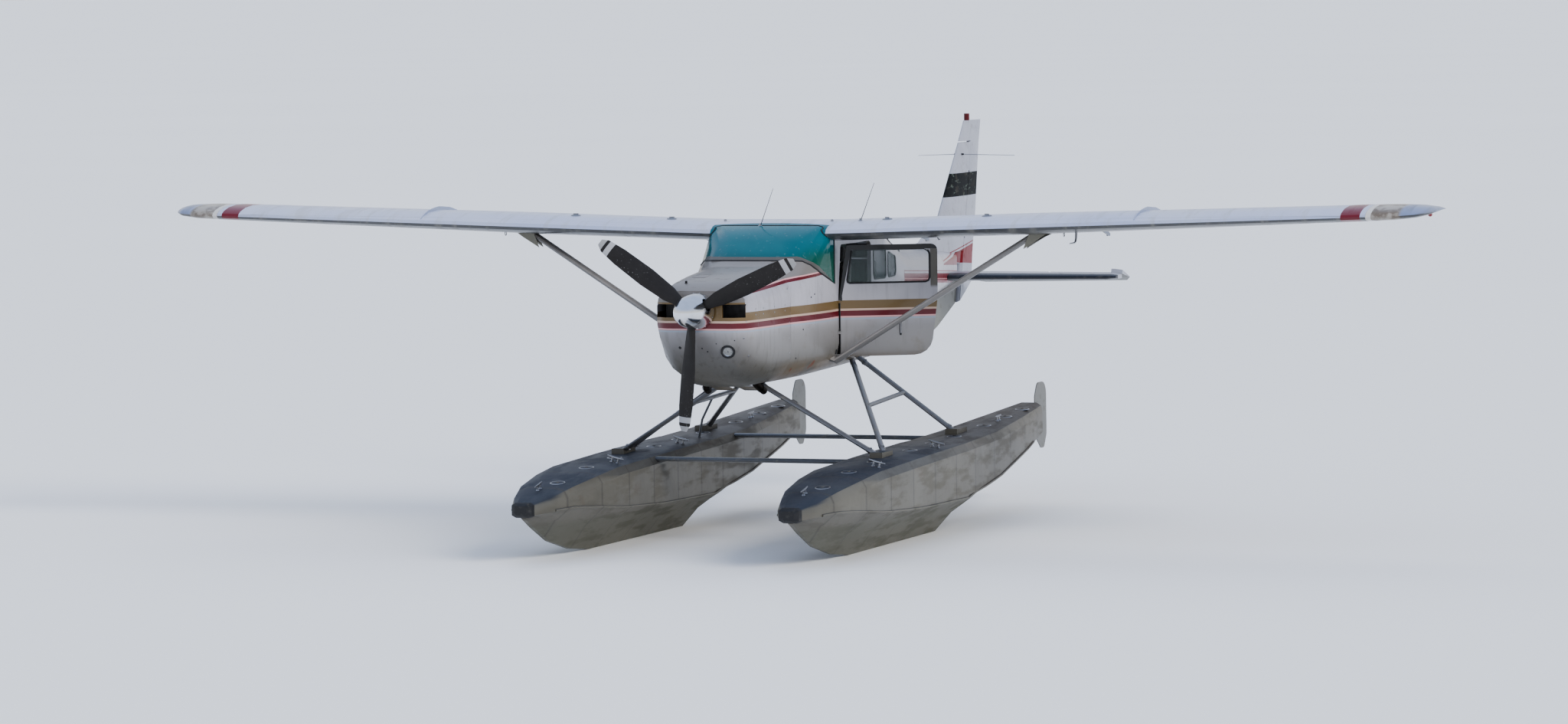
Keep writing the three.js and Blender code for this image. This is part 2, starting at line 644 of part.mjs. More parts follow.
// Door hinges stand proud of the skin: the door's edge, the side, which way the door lies from its hinge,
// and the foot of each pair of knuckles
const KNUCKLE = 7;
const KNUCKLE_LENGTH = 25;
const PILOT_HINGE = { edge: DOOR_FRONT, side: 1, door: 1, feet: [-330, -40] };
const CARGO_FRONT_HINGE = { edge: 3080, side: -1, door: 1, feet: [-300, 150] };
const CARGO_REAR_HINGE = { edge: 4080, side: -1, door: -1, feet: [-270, 120] };

function hingeAxis({ edge, side, door }) {
  return [side * (hullAt(HULL, edge)[1] + KNUCKLE + 1), edge - (door * DOOR_GAP) / 2];
}

// Knuckles of a hinge on one side of the gap: part 0 is the body's, part 1 the door's
function knuckles(hinge, part) {
  const [out, aft] = hingeAxis(hinge);
  const along = (part === 0 ? -1 : 1) * hinge.door;
  return hinge.feet.map((foot) => {
    const low = foot + part * (KNUCKLE_LENGTH + SEAT_GAP);
    const high = low + KNUCKLE_LENGTH;
    const outs = [out - hinge.side * 22, out - hinge.side * 2].sort((a, b) => a - b);
    const afts = [aft + along * 4, aft + along * 34].sort((a, b) => a - b);
    const tab = block([outs[0], afts[0], low], [outs[1], afts[1], high]);
    return bar([out, aft, low], [out, aft, high], KNUCKLE, 14).add(tab);
  });
}

// Doors swing with a group whose origin is on the hinge line
const [doorOut, doorAft] = hingeAxis(PILOT_HINGE);
const doorGroup = new THREE.Group();
doorGroup.position.set(doorOut, doorAft, 0);
doorGroup.rotation.z = -DOOR_OPEN * DEGREE;
plane.add(doorGroup);
const doorShift = [-doorOut, -doorAft, 0];

function moved(solid, shift) {
  const geometry = toGeometry(solid);
  geometry.translate(...shift);
  return toSolid(geometry);
}

function addDoor(name, corners, windowCorners, hinge, parent = plane, shift = [0, 0, 0]) {
  const leaf = wall.intersect(cutPanel(corners, hinge.side));
  const pane = outside.intersect(cutPanel(windowCorners, hinge.side)).subtract(behindPane);
  const hole = cutPanel(windowCorners, hinge.side, SEAT_GAP);
  addPiece(name, moved(join([leaf.subtract(hole), ...knuckles(hinge, 1)]), shift), WHITE, parent);
  addPiece(`${name}_window`, moved(pane, shift), GLASS, parent);
}

addDoor('pilot_door', PILOT_DOOR, PILOT_WINDOW, PILOT_HINGE, doorGroup, doorShift);
addDoor('cargo_door_front', CARGO_FRONT, CARGO_FRONT_WINDOW, CARGO_FRONT_HINGE);
addDoor('cargo_door_rear', CARGO_REAR, CARGO_REAR_WINDOW, CARGO_REAR_HINGE);

const shell = cut(wall, [
  roofSpace, sky, tailSpace, tailHatch, windshieldHole, rearHole, tailGrown,
  cutPanel(PILOT_DOOR, 1, DOOR_GAP),
  cutPanel(CARGO_FRONT, -1, DOOR_GAP),
  cutPanel(CARGO_REAR, -1, DOOR_GAP),
  cutPanel(STARBOARD_WINDOW, -1, SEAT_GAP),
  cutPanel(PORT_MIDDLE_WINDOW, 1, SEAT_GAP),
  cutPanel(PORT_AFT_WINDOW, 1, SEAT_GAP),
]);
const bodyKnuckles = [PILOT_HINGE, CARGO_FRONT_HINGE, CARGO_REAR_HINGE].flatMap((hinge) => knuckles(hinge, 0));
addPiece('fuselage_shell', join([shell, ...bodyKnuckles]), WHITE);
addPiece('cabin_roof', roof, WHITE);
addPiece('windshield', cut(outside.intersect(windshieldSpace), [behindPane, roofSpace, sky]), TEAL);
addPiece('rear_window', cut(outside.intersect(rearSpace), [behindPane, roofSpace]), GLASS);
buildPane('starboard_window', STARBOARD_WINDOW, -1);
buildPane('port_middle_window', PORT_MIDDLE_WINDOW, 1);
buildPane('port_aft_window', PORT_AFT_WINDOW, 1);

for (const [name, side] of SIDES) {
  buildWing(name, side);
  buildTip(name, side);
  buildStrut(name, side);
}

// Cowling, engine and propeller
const COWL_SPLIT = -20;
const COWL_WALL = 22;
const INLET = [[232, -62], [430, 58]];

function buildCowling() {
  const noseWall = 20;
  const inner = COWL.map((row, k) => {
    const shift = { 0: noseWall, [COWL.length - 1]: 50 }[k] ?? 0;
    return hullRing([row[0] + shift, ...row.slice(1)], COWL_WALL);
  });
  const inlets = SIDES.map(([, side]) => {
    const [low, high] = INLET;
    return block([Math.min(side * low[0], side * high[0]), -50, low[1]],
      [Math.max(side * low[0], side * high[0]), 320, high[1]]);
  });
  const shaftHole = bar([0, 0, 0], [0, 200, 0], 120, 20);
  const coolingExit = block([-260, FIREWALL - 60, -800], [260, FIREWALL + 100, -600]);
  const shellSolid = cut(hull(COWL), [lofted(inner), ...inlets, shaftHole, coolingExit]);
  const top = block([-800, -100, COWL_SPLIT + SEAT_GAP / 2], [800, 1300, 800]);
  const low = block([-800, -100, -1200], [800, 1300, COWL_SPLIT - SEAT_GAP / 2]);
  addPiece('cowling_upper', shellSolid.intersect(top), WHITE);
  addPiece('cowling_lower', shellSolid.intersect(low), WHITE);
}

function buildEngine() {
  const cylinders = block([-400, 300, -120], [400, 960, 110]);
  const sump = block([-170, 260, -330], [170, 900, 160]);
  const crank = bar([0, 62.3, 0], [0, 320, 0], 50, 16);
  const mount = block([-190, 880, -220], [190, FIREWALL - SEAT_GAP, 120]);
  addPiece('engine_block', join([cylinders, sump, crank, mount]), METAL);
}

// Propeller blade sections: reach, width, thickness, pitch in degrees. It turns clockwise as the pilot sees it.
const BLADE = [
  [60, 92, 80, 45],
  [150, 96, 70, 42],
  [280, 160, 42, 36],
  [540, 184, 26, 27],
  [860, 165, 18, 20],
  [1034, 126, 13, 17],
  [BLADE_REACH, 60, 9, 16],
];

function bladeRings(turn) {
  const sides = 10;
  return BLADE.map(([reach, width, thick, pitch]) => Array.from({ length: sides }, (_, i) => {
    const angle = (i / sides) * 2 * Math.PI;
    const across = (width / 2) * Math.cos(angle);
    const depth = (thick / 2) * Math.sin(angle);
    const tilt = -pitch * DEGREE;
    const swing = across * Math.cos(tilt) - depth * Math.sin(tilt);
    const aft = across * Math.sin(tilt) + depth * Math.cos(tilt);
    return point(reach * Math.cos(turn) - swing * Math.sin(turn), aft - DISC_AHEAD,
      reach * Math.sin(turn) + swing * Math.cos(turn));
  }));
}

function spinnerProfile() {
  const nose = -360;
  const rim = 52;
  const skin = 8;
  const rounds = 8;
  const outer = Array.from({ length: rounds + 1 }, (_, k) => {
    const share = k / rounds;
    return new THREE.Vector2(SPINNER_RADIUS * Math.sin((share * Math.PI) / 2) ** 0.8,
      nose + (rim - nose) * (1 - Math.cos((share * Math.PI) / 2)));
  });
  const inner = outer.slice().reverse().map((p, k) =>
    new THREE.Vector2(Math.max(p.x - skin, 0), k === 0 ? p.y : p.y + skin));
  return [...outer, ...inner];
}

function buildPropeller() {
  const turns = [0, 1, 2].map((k) => -Math.PI / 2 + BLADE_TURN + (k * 2 * Math.PI) / 3);
  const blades = turns.map((turn) => lofted(bladeRings(turn)));
  const hub = bar([0, -70 - DISC_AHEAD, 0], [0, 62, 0], 100, 20);
  const backPlate = bar([0, 52 + SEAT_GAP, 0], [0, 62, 0], SPINNER_RADIUS - 4, 24);
  addPiece('propeller_blades', join([hub, backPlate, ...blades]), BLACK);
  const dome = toSolid(new THREE.LatheGeometry(spinnerProfile(), 24));
  const ports = turns.map((turn) => bar([60 * Math.cos(turn), -DISC_AHEAD, 60 * Math.sin(turn)],
    [260 * Math.cos(turn), -DISC_AHEAD, 260 * Math.sin(turn)], 64, 12));
  addPiece('spinner', cut(dome, ports), CHROME);
}

buildCowling();
buildEngine();
buildPropeller();

// Cabin furniture

function seat(out, aft, width) {
  const half = width / 2;
  const floor = CABIN_FLOOR + SEAT_GAP;
  const cushion = sidePlate(rounded([[aft - 250, -300, 30], [aft + 230, -300, 0], [aft + 250, -170, 0],
    [aft - 250, -150, 40]]), out - half, out + half);
  const back = sidePlate(rounded([[aft + 150, -230, 0], [aft + 270, -230, 0], [aft + 360, 330, 50],
    [aft + 265, 330, 40]]), out - half, out + half);
  const legs = block([out - half + 60, aft - 200, floor], [out + half - 60, aft + 200, -290]);
  return join([cushion, back, legs]);
}

addPiece('front_seat_port', seat(270, 2620, 430), SEAT);
addPiece('front_seat_starboard', seat(-270, 2620, 430), SEAT);
addPiece('middle_seats', join([seat(265, 3370, 420), seat(-265, 3370, 420),
  block([-150, 3270, -470], [150, 3420, -400])]), SEAT);

function buildPanel() {
  const cabin = hullBetween(HULL, FIREWALL + 30 + SEAT_GAP, 2200, CABIN_WALL + SEAT_GAP);
  const board = block([-600, 1400, -60], [600, 1450, 275]).intersect(cabin);
  const glareshield = block([-600, 1345, 250], [600, 1500, 280]).intersect(cabin);
  const brace = block([-60, 1170 + SEAT_GAP, -20], [60, 1410, 60]);
  const yokes = SIDES.flatMap(([, side]) => [
    bar([side * 265, 1440, 80], [side * 265, 1760, 80], 15),
    bar([side * 265 - 130, 1750, 90], [side * 265 + 130, 1750, 90], 16),
    bar([side * 265 - 125, 1750, 90], [side * 265 - 125, 1750, 180], 14),
    bar([side * 265 + 125, 1750, 90], [side * 265 + 125, 1750, 180], 14),
  ]);
  addPiece('instrument_panel', join([board, glareshield, brace, ...yokes]), BLACK);
}

buildPanel();

// Floats: aft, half width, deck, chine, keel
const FOREBODY = [
  [-1050, 108, -1675, -1785, -1820],
  [-850, 195, -1625, -1775, -1920],
  [-500, 285, -1548, -1768, -2070],
  [0, 345, -1483, -1805, -2185],
  [450, 365, -1440, -1850, -THRUST_HEIGHT],
  [1500, 370, -1405, -1900, -THRUST_HEIGHT],
  [STEP_AFT, 365, -1370, -1920, -THRUST_HEIGHT],
];
const AFTERBODY = [
  [STEP_AFT - 40, 355, -1376, -1900, -2150],
  [3900, 330, -1340, -1800, -1985],
  [5000, 240, -1272, -1640, -1760],
  [STERN, 140, -1220, -1510, -1590],
];
const KEEL_HALF = 20;
const PAD_RISE = 45;
const FEET = [FRONT_FOOT, REAR_FOOT];
const deckAt = (aft) => hullAt(aft < STEP_AFT ? FOREBODY : AFTERBODY, aft)[2];

function floatRing([aft, half, deck, chine, keel], out, grow = 0) {
  const right = [
    [half * 0.55, deck + grow],
    [half * 0.88 + grow, deck - 28 + grow],
    [half + grow, deck - 95],
    [half + grow, chine],
    [half * 0.5, (chine + keel) / 2 + 25],
    [KEEL_HALF, keel],
  ];
  const left = right.map(([x, z]) => [-x, z]).reverse();
  return [...right, ...left].map(([x, z]) => point(out + x, aft, z));
}

// The body of a float with the pads that its struts stand on
function floatBody(side, grow = 0) {
  const out = side * FLOAT_OUT;
  const halves = [FOREBODY, AFTERBODY].map((table) => lofted(table.map((row) => floatRing(row, out, grow))));
  const pads = FEET.map((aft) => block([out - 60 - grow, aft - 150 - grow, deckAt(aft) - 40],
    [out + 60 + grow, aft + 150 + grow, deckAt(aft) + PAD_RISE + grow]));
  return join([...halves, ...pads]);
}

// Water rudders: a post that steers between two lugs of the stern, and a blade that lifts
const POST_AFT = STERN + 45;
const POST_HALF = 60;
const PIVOT_AFT = POST_AFT + 80;
const PIVOT_UP = -1500;

function buildFloat(name, side) {
  const out = side * FLOAT_OUT;
  const lugs = [PIVOT_UP + POST_HALF + SEAT_GAP, PIVOT_UP - POST_HALF - SEAT_GAP - 18].map((low) =>
    block([out - 24, STERN - 40, low], [out + 24, POST_AFT + 18, low + 18]));
  addPiece(`float_${name}`, join([floatBody(side), ...lugs]), GREY);
  const bumper = (aft, half, top, low) => [point(out + half, aft, top - 20), point(out + half * 0.7, aft, top),
    point(out - half * 0.7, aft, top), point(out - half, aft, top - 20), point(out - half, aft, low + 20),
    point(out - half * 0.6, aft, low), point(out + half * 0.6, aft, low), point(out + half, aft, low + 20)];
  addPiece(`bow_bumper_${name}`, lofted([bumper(BOW_END, 60, -1700, -1782), bumper(-1095, 95, -1678, -1805),
    bumper(-1050 - SEAT_GAP, 108, -1672, -1812)]), BLACK);
}

// Float struts: name, top and foot as [out, aft, up], width and thickness. The ends run on into what they meet.
const RIGGING = [
  ['front_strut', [110, 1165, -690], [FLOAT_OUT, FRONT_FOOT - 75, -1400], 100, 42],
  ['diagonal_strut', [480, 2845, -580], [FLOAT_OUT, FRONT_FOOT + 85, -1400], 80, 36],
  ['rear_strut', [480, 2985, -580], [FLOAT_OUT, REAR_FOOT, -1350], 100, 42],
];

function buildRigging(name, side) {
  const mirror = ([out, aft, up]) => [side * out, aft, up];
  const belly = hull(HULL, -SEAT_GAP).add(hull(COWL, -SEAT_GAP));
  for (const [piece, top, foot, width, thickness] of RIGGING) {
    const raw = fairedBar(mirror(top), mirror(foot), width, thickness);
    addPiece(`${piece}_${name}`, cut(raw, [floatBody(side, SEAT_GAP), belly]), GREY);
  }
}

for (const [name, side] of SIDES) {
  buildFloat(name, side);
  buildRigging(name, side);
}

// Spreader bars between the floats
const BAR_DROP = 55;
const bodies = SIDES.map(([, side]) => floatBody(side, SEAT_GAP));
for (const [name, aft] of [['front', FRONT_FOOT], ['rear', REAR_FOOT]]) {
  const level = deckAt(aft) - BAR_DROP;
  const raw = fairedBar([-FLOAT_OUT + 250, aft, level], [FLOAT_OUT - 250, aft, level], 110, 44);
  addPiece(`${name}_spreader_bar`, cut(raw, bodies), GREY);
}

// Water rudder blade: corners behind and above its pivot, and their radii
const BLADE_OUTLINE = [[-26, -30, 8], [-26, 35, 8], [48, 100, 20], [48, 330, 60], [130, 460, 80],
  [420, 460, 130], [425, -70, 100], [340, -200, 50], [238, -200, 50], [48, -60, 20]];

function buildWaterRudder(name, side) {
  const out = side * FLOAT_OUT;
  const post = block([out - 22, POST_AFT - 20, PIVOT_UP - POST_HALF],
    [out + 22, POST_AFT + 110, PIVOT_UP + POST_HALF]);
  const slot = block([out - 9, POST_AFT + 26, -1700], [out + 9, POST_AFT + 200, -1400]);
  const pivot = (reach, radius, sides) =>
    bar([out - reach, PIVOT_AFT, PIVOT_UP], [out + reach, PIVOT_AFT, PIVOT_UP], radius, sides);
  addPiece(`water_rudder_post_${name}`, post.subtract(slot).add(pivot(20, PIN)), METAL);
  const corners = BLADE_OUTLINE.map(([aft, up, radius]) => [PIVOT_AFT + aft, PIVOT_UP + up, radius]);
  const blade = sidePlate(rounded(corners), out - 4, out + 4);
  addPiece(`water_rudder_blade_${name}`, blade.subtract(pivot(12, PIN_HOLE, 12)), METAL);
}

for (const [name, side] of SIDES) {
  buildWaterRudder(name, side);
}

export default plane;
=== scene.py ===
import functools
import math

import bmesh
import bpy
from mathutils import Matrix, Vector
from mathutils.bvhtree import BVHTree


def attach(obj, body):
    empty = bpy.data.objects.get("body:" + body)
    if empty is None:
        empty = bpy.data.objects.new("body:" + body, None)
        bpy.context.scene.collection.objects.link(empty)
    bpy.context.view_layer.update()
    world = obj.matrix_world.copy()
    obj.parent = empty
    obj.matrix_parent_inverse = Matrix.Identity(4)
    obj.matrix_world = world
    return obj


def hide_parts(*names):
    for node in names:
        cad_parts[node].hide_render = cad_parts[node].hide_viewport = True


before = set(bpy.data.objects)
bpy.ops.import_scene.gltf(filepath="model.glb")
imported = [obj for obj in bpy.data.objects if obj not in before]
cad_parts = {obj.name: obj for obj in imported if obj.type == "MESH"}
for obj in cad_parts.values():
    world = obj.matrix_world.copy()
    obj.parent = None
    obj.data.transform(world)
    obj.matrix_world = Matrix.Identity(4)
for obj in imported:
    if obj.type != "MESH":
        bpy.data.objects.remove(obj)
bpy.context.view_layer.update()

move = Matrix.Translation

# Places on the aircraft are given as distances out to port, aft of the crankshaft's flange and up
# from the thrust line, in metres.
HUB_AHEAD = 3.575
THRUST_UP = 2.23
SIDES = (("port", 1), ("starboard", -1))
DOOR_HINGE = (0.6067, 2.187)
DOOR_OPEN = math.radians(60)


def at(out, aft, up):
    return Vector((out, aft - HUB_AHEAD, up + THRUST_UP))


def swung(point, angle):
    """A point swung with the pilot's door about its hinge."""
    hinge = at(*DOOR_HINGE, 0)
    return Matrix.Rotation(angle, 3, "Z") @ (point - hinge) + hinge


def added(name, data):
    """A new object in the scene."""
    made = bpy.data.objects.new(name, data)
    bpy.context.collection.objects.link(made)
    return made


# Camera

CAMERA_PLACE = (19.57, -54.375, 5.18)
CAMERA_YAW = math.radians(16.77)
CAMERA_PITCH = math.radians(-3.34)
CAMERA_ROLL = math.radians(-0.53)
PHOTO_LENS = 3800
PHOTO_MIDDLE = (1024, 472.5)
AIM = (795, 492)
LENS = 138
CLIP = (0.5, 6000)


def set_camera():
    yaw_out, yaw_on = math.sin(CAMERA_YAW), math.cos(CAMERA_YAW)
    ahead = Vector((-yaw_out * math.cos(CAMERA_PITCH), yaw_on * math.cos(CAMERA_PITCH),
        math.sin(CAMERA_PITCH)))
    level = Vector((yaw_on, yaw_out, 0))
    upright = level.cross(ahead)
    right = level * math.cos(CAMERA_ROLL) + upright * math.sin(CAMERA_ROLL)
    above = upright * math.cos(CAMERA_ROLL) - level * math.sin(CAMERA_ROLL)
    sight = ahead * PHOTO_LENS + right * (AIM[0] - PHOTO_MIDDLE[0]) - above * (AIM[1] - PHOTO_MIDDLE[1])
    sight.normalize()
    across = (right - sight * right.dot(sight)).normalized()
    turn = Matrix((across, across.cross(sight), sight * -1)).transposed()
    camera = added("camera", bpy.data.cameras.new("camera"))
    camera.data.lens = LENS
    camera.data.clip_start, camera.data.clip_end = CLIP
    camera.matrix_world = move(CAMERA_PLACE) @ turn.to_4x4()
    bpy.context.scene.camera = camera


set_camera()


class Number:
    """A number in a material; arithmetic on it adds the nodes that work it out."""

    def __init__(self, finish, socket):
        self.finish = finish
        self.socket = socket

    def maths(self, operation, *values):
        return self.finish.number("ShaderNodeMath", {"operation": operation}, dict(enumerate(values)))

    def __add__(self, other):
        return self.maths("ADD", self, other)

    def __sub__(self, other):
        return self.maths("SUBTRACT", self, other)

    def __rsub__(self, other):
        return self.maths("SUBTRACT", other, self)

    def __mul__(self, other):
        return self.maths("MULTIPLY", self, other)

    def __abs__(self):
        return self.maths("ABSOLUTE", self)

    __radd__ = __add__
    __rmul__ = __mul__

    def root(self):
        return self.maths("SQRT", self)

    def at_least(self, low):
        return self.maths("MAXIMUM", self, low)

    def above(self, edge, soft=0.0015):
        """1 past the edge, 0 before it."""
        return self.finish.number("ShaderNodeMapRange", {"interpolation_type": "SMOOTHSTEP"},
            {"Value": self, "From Min": edge - soft, "From Max": edge + soft})

    def within(self, low, high, soft=0.0015):
        return self.above(low, soft) * (1 - self.above(high, soft))

    def apart(self, pitch):
        """The distance from the nearest whole multiple of the pitch."""
        return abs(self.maths("WRAP", self, pitch / 2, -pitch / 2))


PATCH_ROUGHNESS = 0.55


class Finish:
    """A material whose nodes are all added by node(), with its colour laid on in layers."""

    def __init__(self, name, fixed=()):
        self.material = bpy.data.materials.new(name)
        self.material.use_nodes = True
        self.tree = self.material.node_tree
        self.shader = self.tree.nodes["Principled BSDF"]
        for socket, value in dict(fixed).items():
            self.shader.inputs[socket].default_value = value

    def join(self, value, socket):
        if isinstance(value, Number):
            value = value.socket
        if isinstance(value, bpy.types.NodeSocket):
            self.tree.links.new(value, socket)
        elif socket.type == "RGBA":
            socket.default_value = (*value, 1.0)
        else:
            socket.default_value = value

    def node(self, kind, settings=(), values=()):
        made = self.tree.nodes.new(kind)
        for key, value in dict(settings).items():
            setattr(made, key, value)
        for key, value in dict(values).items():
            self.join(value, made.inputs[key])
        return made

    def number(self, kind, settings=(), values=()):
        return Number(self, self.node(kind, settings, values).outputs[0])

    def mix(self, share, first, second):
        return self.node("ShaderNodeMix", {"data_type": "RGBA"},
            {0: share, 6: first, 7: second}).outputs[2]

    def base(self, share, first, second):
        self.colour = self.mix(share, first, second)

    def over(self, share, tint):
        """Lays a tint over the colour, in full where the share is 1."""
        self.colour = self.mix(share, self.colour, tint)

    def place(self, turned=False):
        """Out, aft and up as numbers; the open door's pattern is turned back to where it is when shut."""
        point = self.node("ShaderNodeTexCoord").outputs["Object"]
        shift = Vector((0, HUB_AHEAD, -THRUST_UP))
        turn = (0, 0, 0)
        if turned:
            shift += swung(Vector(), DOOR_OPEN)
            turn = (0, 0, DOOR_OPEN)
        self.point = self.node("ShaderNodeMapping", {}, {"Vector": point, "Location": shift,
            "Rotation": turn}).outputs[0]
        parts = self.node("ShaderNodeSeparateXYZ", {}, {0: self.point})
        return [Number(self, parts.outputs[k]) for k in range(3)]

    def facing(self):
        """How squarely the surface faces up."""
        normal = self.node("ShaderNodeNewGeometry").outputs["Normal"]
        return Number(self, self.node("ShaderNodeSeparateXYZ", {}, {0: normal}).outputs[2])

    def mottle(self, scale, detail, stretch=None):
        """Uneven patches, squeezed by the stretch along out, aft and up."""
        if not hasattr(self, "point"):
            self.place()
        vector = self.point
        if stretch:
            vector = self.node("ShaderNodeVectorMath", {"operation": "MULTIPLY"},
                {0: vector, 1: stretch}).outputs[0]
        return self.number("ShaderNodeTexNoise", {}, {"Vector": vector, "Scale": scale, "Detail": detail,
            "Roughness": PATCH_ROUGHNESS})

    def done(self, roughness, height=None, depth=0.001, metallic=None):
        self.join(self.colour, self.shader.inputs["Base Color"])
        self.join(roughness, self.shader.inputs["Roughness"])
        if metallic is not None:
            self.join(metallic, self.shader.inputs["Metallic"])
        if height is not None:
            bump = self.node("ShaderNodeBump", {}, {"Height": height, "Distance": depth})
            self.join(bump.outputs[0], self.shader.inputs["Normal"])
        return self.material


# Finishes

WHITE = (0.435, 0.425, 0.455)
BELLY_SHADE_AND_STREAKS = (0.1, 0.094, 0.076)
GOLD = (0.152, 0.1, 0.041)
RED = (0.11, 0.005, 0.01)
PINK = (0.62, 0.33, 0.33)
CREAM = (0.5, 0.36, 0.28)
SLATE = (0.3, 0.34, 0.4)
PANEL_BROWN = (0.19, 0.176, 0.164)
DIRT = (0.2, 0.18, 0.15)
RUST = (0.17, 0.06, 0.026)
EXHAUST_TAN = (0.205, 0.15, 0.09)
SEAL_FRAME_AND_SHADE_BLACK = (0.012, 0.012, 0.012)
OLIVE = (0.115, 0.106, 0.088)
FLASH_RED = (0.165, 0.005, 0.009)
TEAL = (0.003, 0.11, 0.14)
TEAL_LIGHT = (0.004, 0.13, 0.158)
TEAL_DEEP = (0.003, 0.05, 0.056)
STRIPES = ((-0.094, -0.016, GOLD), (-0.113, -0.094, CREAM), (-0.163, -0.113, RED), (-0.176, -0.163, PINK),
    (-0.196, -0.184, SLATE))
RUST_SPOTS = ((1.643, -0.574, 0.034), (1.6, -0.6, 0.02), (1.242, -0.608, 0.016))
COWL_SEAMS = (0.39, 0.74, 1.13)
HULL_SEAMS = (1.62, 2.17, 3.15, 3.95, 4.7, 5.3, 5.9, 6.5, 7.0)
WING_ROWS = (2.0, 2.42, 2.85)
RIB_PITCH = 0.381
WINDOW_TOP = 0.455
FLOAT_SEAM_PITCH = 0.62
WING_BAND = (5.5, 5.68)
TIP_BAND = (5.732, 5.78)
BARE_TIP = 6.04


def darker(tint, share):
    return tuple(part * share for part in tint)


def flash_climb(aft):
    """How far the upper edge of the flash at the tail has risen."""
    return (aft - 6.49) * 0.098


def greatest(numbers):
    return functools.reduce(Number.at_least, numbers)


def seam_lines(rows):
    """Thin lines where the rows, which are distances to a line, are near nothing."""
    return greatest([1 - abs(row).above(0.0012, 0.0008) for row in rows])


def rivet_rows(rows, along, pitch, radius=0.0022):
    """Rivet heads at a pitch along each of the rows."""
    step = along.apart(pitch)
    return greatest([1 - (row * row + step * step).root().above(radius, 0.0014) for row in rows])


def hull_paint(name, turned=False, cowl=False):
    """White paint with the stripes along the side, seams, rivets and stains, and painted shade with grime
    streaks on the lower side.
    """
    coat = Finish(name, {"Coat Weight": 0.25, "Coat Roughness": 0.12})
    out, aft, up = coat.place(turned)
    coat.base(coat.mottle(1.4, 4).above(0.5, 0.22), WHITE, (0.375, 0.365, 0.4))
    low = 1 - up.above(-0.37, 0.3)
    # Painted shade: the side turns darker grey below the stripes
    coat.over((1 - up.above(-0.2, 0.08)) * 0.6, (0.215, 0.207, 0.19))
    # Painted shade: the whole open door is darkened because it turns away from the light
    if turned:
        coat.over(0.2, (0.25, 0.245, 0.23))
    streaks = coat.mottle(5, 5, (3.0, 3.0, 0.35))
    # Painted shade over the lower side and belly, lighter on the door, with grime streaks mixed in
    coat.over(low * (0.45 if turned else 0.95) + streaks.above(0.62, 0.12) * 0.2, BELLY_SHADE_AND_STREAKS)
    grime = coat.mottle(9, 6).above(0.66, 0.1)
    coat.over(grime * (0.18 + low * 0.45), DIRT)
    tan = (1 - up.above(-0.56, 0.1)) * aft.above(1.0, 0.25) * coat.mottle(3.5, 5).above(0.38, 0.16)
    coat.over(tan * 0.85, EXHAUST_TAN)
    # Painted shade: the lower side of the tail cone is darker grey
    coat.over(aft.above(4.7, 0.5) * (1 - up.above(-0.1, 0.1)) * 0.65, (0.15, 0.147, 0.128))
    # Stripes, from the top down; they fade out ahead of the tail
    ahead = 1 - aft.above(6.0, 0.25)
    for foot, top, tint in STRIPES:
        coat.over(up.within(foot, top) * ahead, tint)
    # Thin stripe that climbs the upper cowl, and the dull panel above it
    climb = up - (0.146 + 0.0667 * (aft - 0.168))
    before_door = 1 - aft.above(1.95, 0.02)
    coat.over(climb.above(0.03) * before_door, PANEL_BROWN)
    coat.over(climb.within(0.018, 0.03) * before_door, PINK)
    coat.over(climb.within(-0.008, 0.018) * before_door, RED)
    if not turned and not cowl:
        # Block and thin line on the tail cone, and the foot of the fin's flash
        fall = up + (aft - 4.64) * 0.05
        behind = aft.above(4.5, 0.01)
        coat.over(fall.within(0.022, 0.118) * behind, (0.17, 0.022, 0.028))
        coat.over(fall.within(0.062, 0.068) * behind, PINK)
        coat.over(fall.within(0.138, 0.147) * behind, (0.22, 0.03, 0.035))
        above_flash = up - flash_climb(aft)
        at_fin = aft.above(6.5)
        flash = (up + (aft - 6.52) * 0.046).above(0.106) * (1 - above_flash.above(0.119)) * at_fin
        coat.over(flash, FLASH_RED)
        coat.over(above_flash.within(0.139, 0.151) * at_fin, (0.2, 0.015, 0.018))
    if turned:
        # Black edges and window frame of the open door; the black wedge that widens up the front edge is
        # painted shade for the dark gap there
        rise = (up - 0.03).at_least(0)
        edge = aft - 2.19 - rise * 0.149
        wide = 0.024 + rise * 0.065
        coat.over((1 - (edge - wide).above(0)) * up.above(-0.02), SEAL_FRAME_AND_SHADE_BLACK)
        coat.over(1 - edge.above(0.008), SEAL_FRAME_AND_SHADE_BLACK)
        coat.over(up.above(WINDOW_TOP), SEAL_FRAME_AND_SHADE_BLACK)
        coat.over(aft.above(3.062) * up.above(0.1, 0.02) * (1 - up.above(WINDOW_TOP)), OLIVE)
    else:
        for spot_aft, spot_up, size in RUST_SPOTS:
            reach = (aft - spot_aft) * (aft - spot_aft) + (up - spot_up) * (up - spot_up)
            ragged = coat.mottle(30, 3) * 1.6 + 0.2
            coat.over(1 - (reach * ragged).above(size * size, size * size * 0.5), RUST)
    if cowl:
        front = 1 - aft.above(0.155, 0.004)
        coat.over(up.within(-0.088, 0.075) * front, GOLD)
        coat.over(up.above(0.075) * front, PANEL_BROWN)
    rows = [aft - station for station in (COWL_SEAMS if cowl else HULL_SEAMS)]
    lines = seam_lines(rows)
    beside = [row + gap for gap in (-0.012, 0.012) for row in rows]
    rivets = rivet_rows(beside, up + abs(out), 0.13 if cowl else 0.035, 0.006 if cowl else 0.0024)
    coat.over(lines * 0.7, (0.12, 0.12, 0.12))
    coat.over(rivets * 0.22, (0.2, 0.2, 0.2))
    worn = coat.mottle(60, 2)
    rough = 0.3 + grime * 0.25 + low * 0.15 + worn * 0.08
    height = rivets * 0.5 - lines + coat.mottle(2.2, 2) * 1.5 + worn * 0.05
    return coat.done(rough, height, 0.0012)


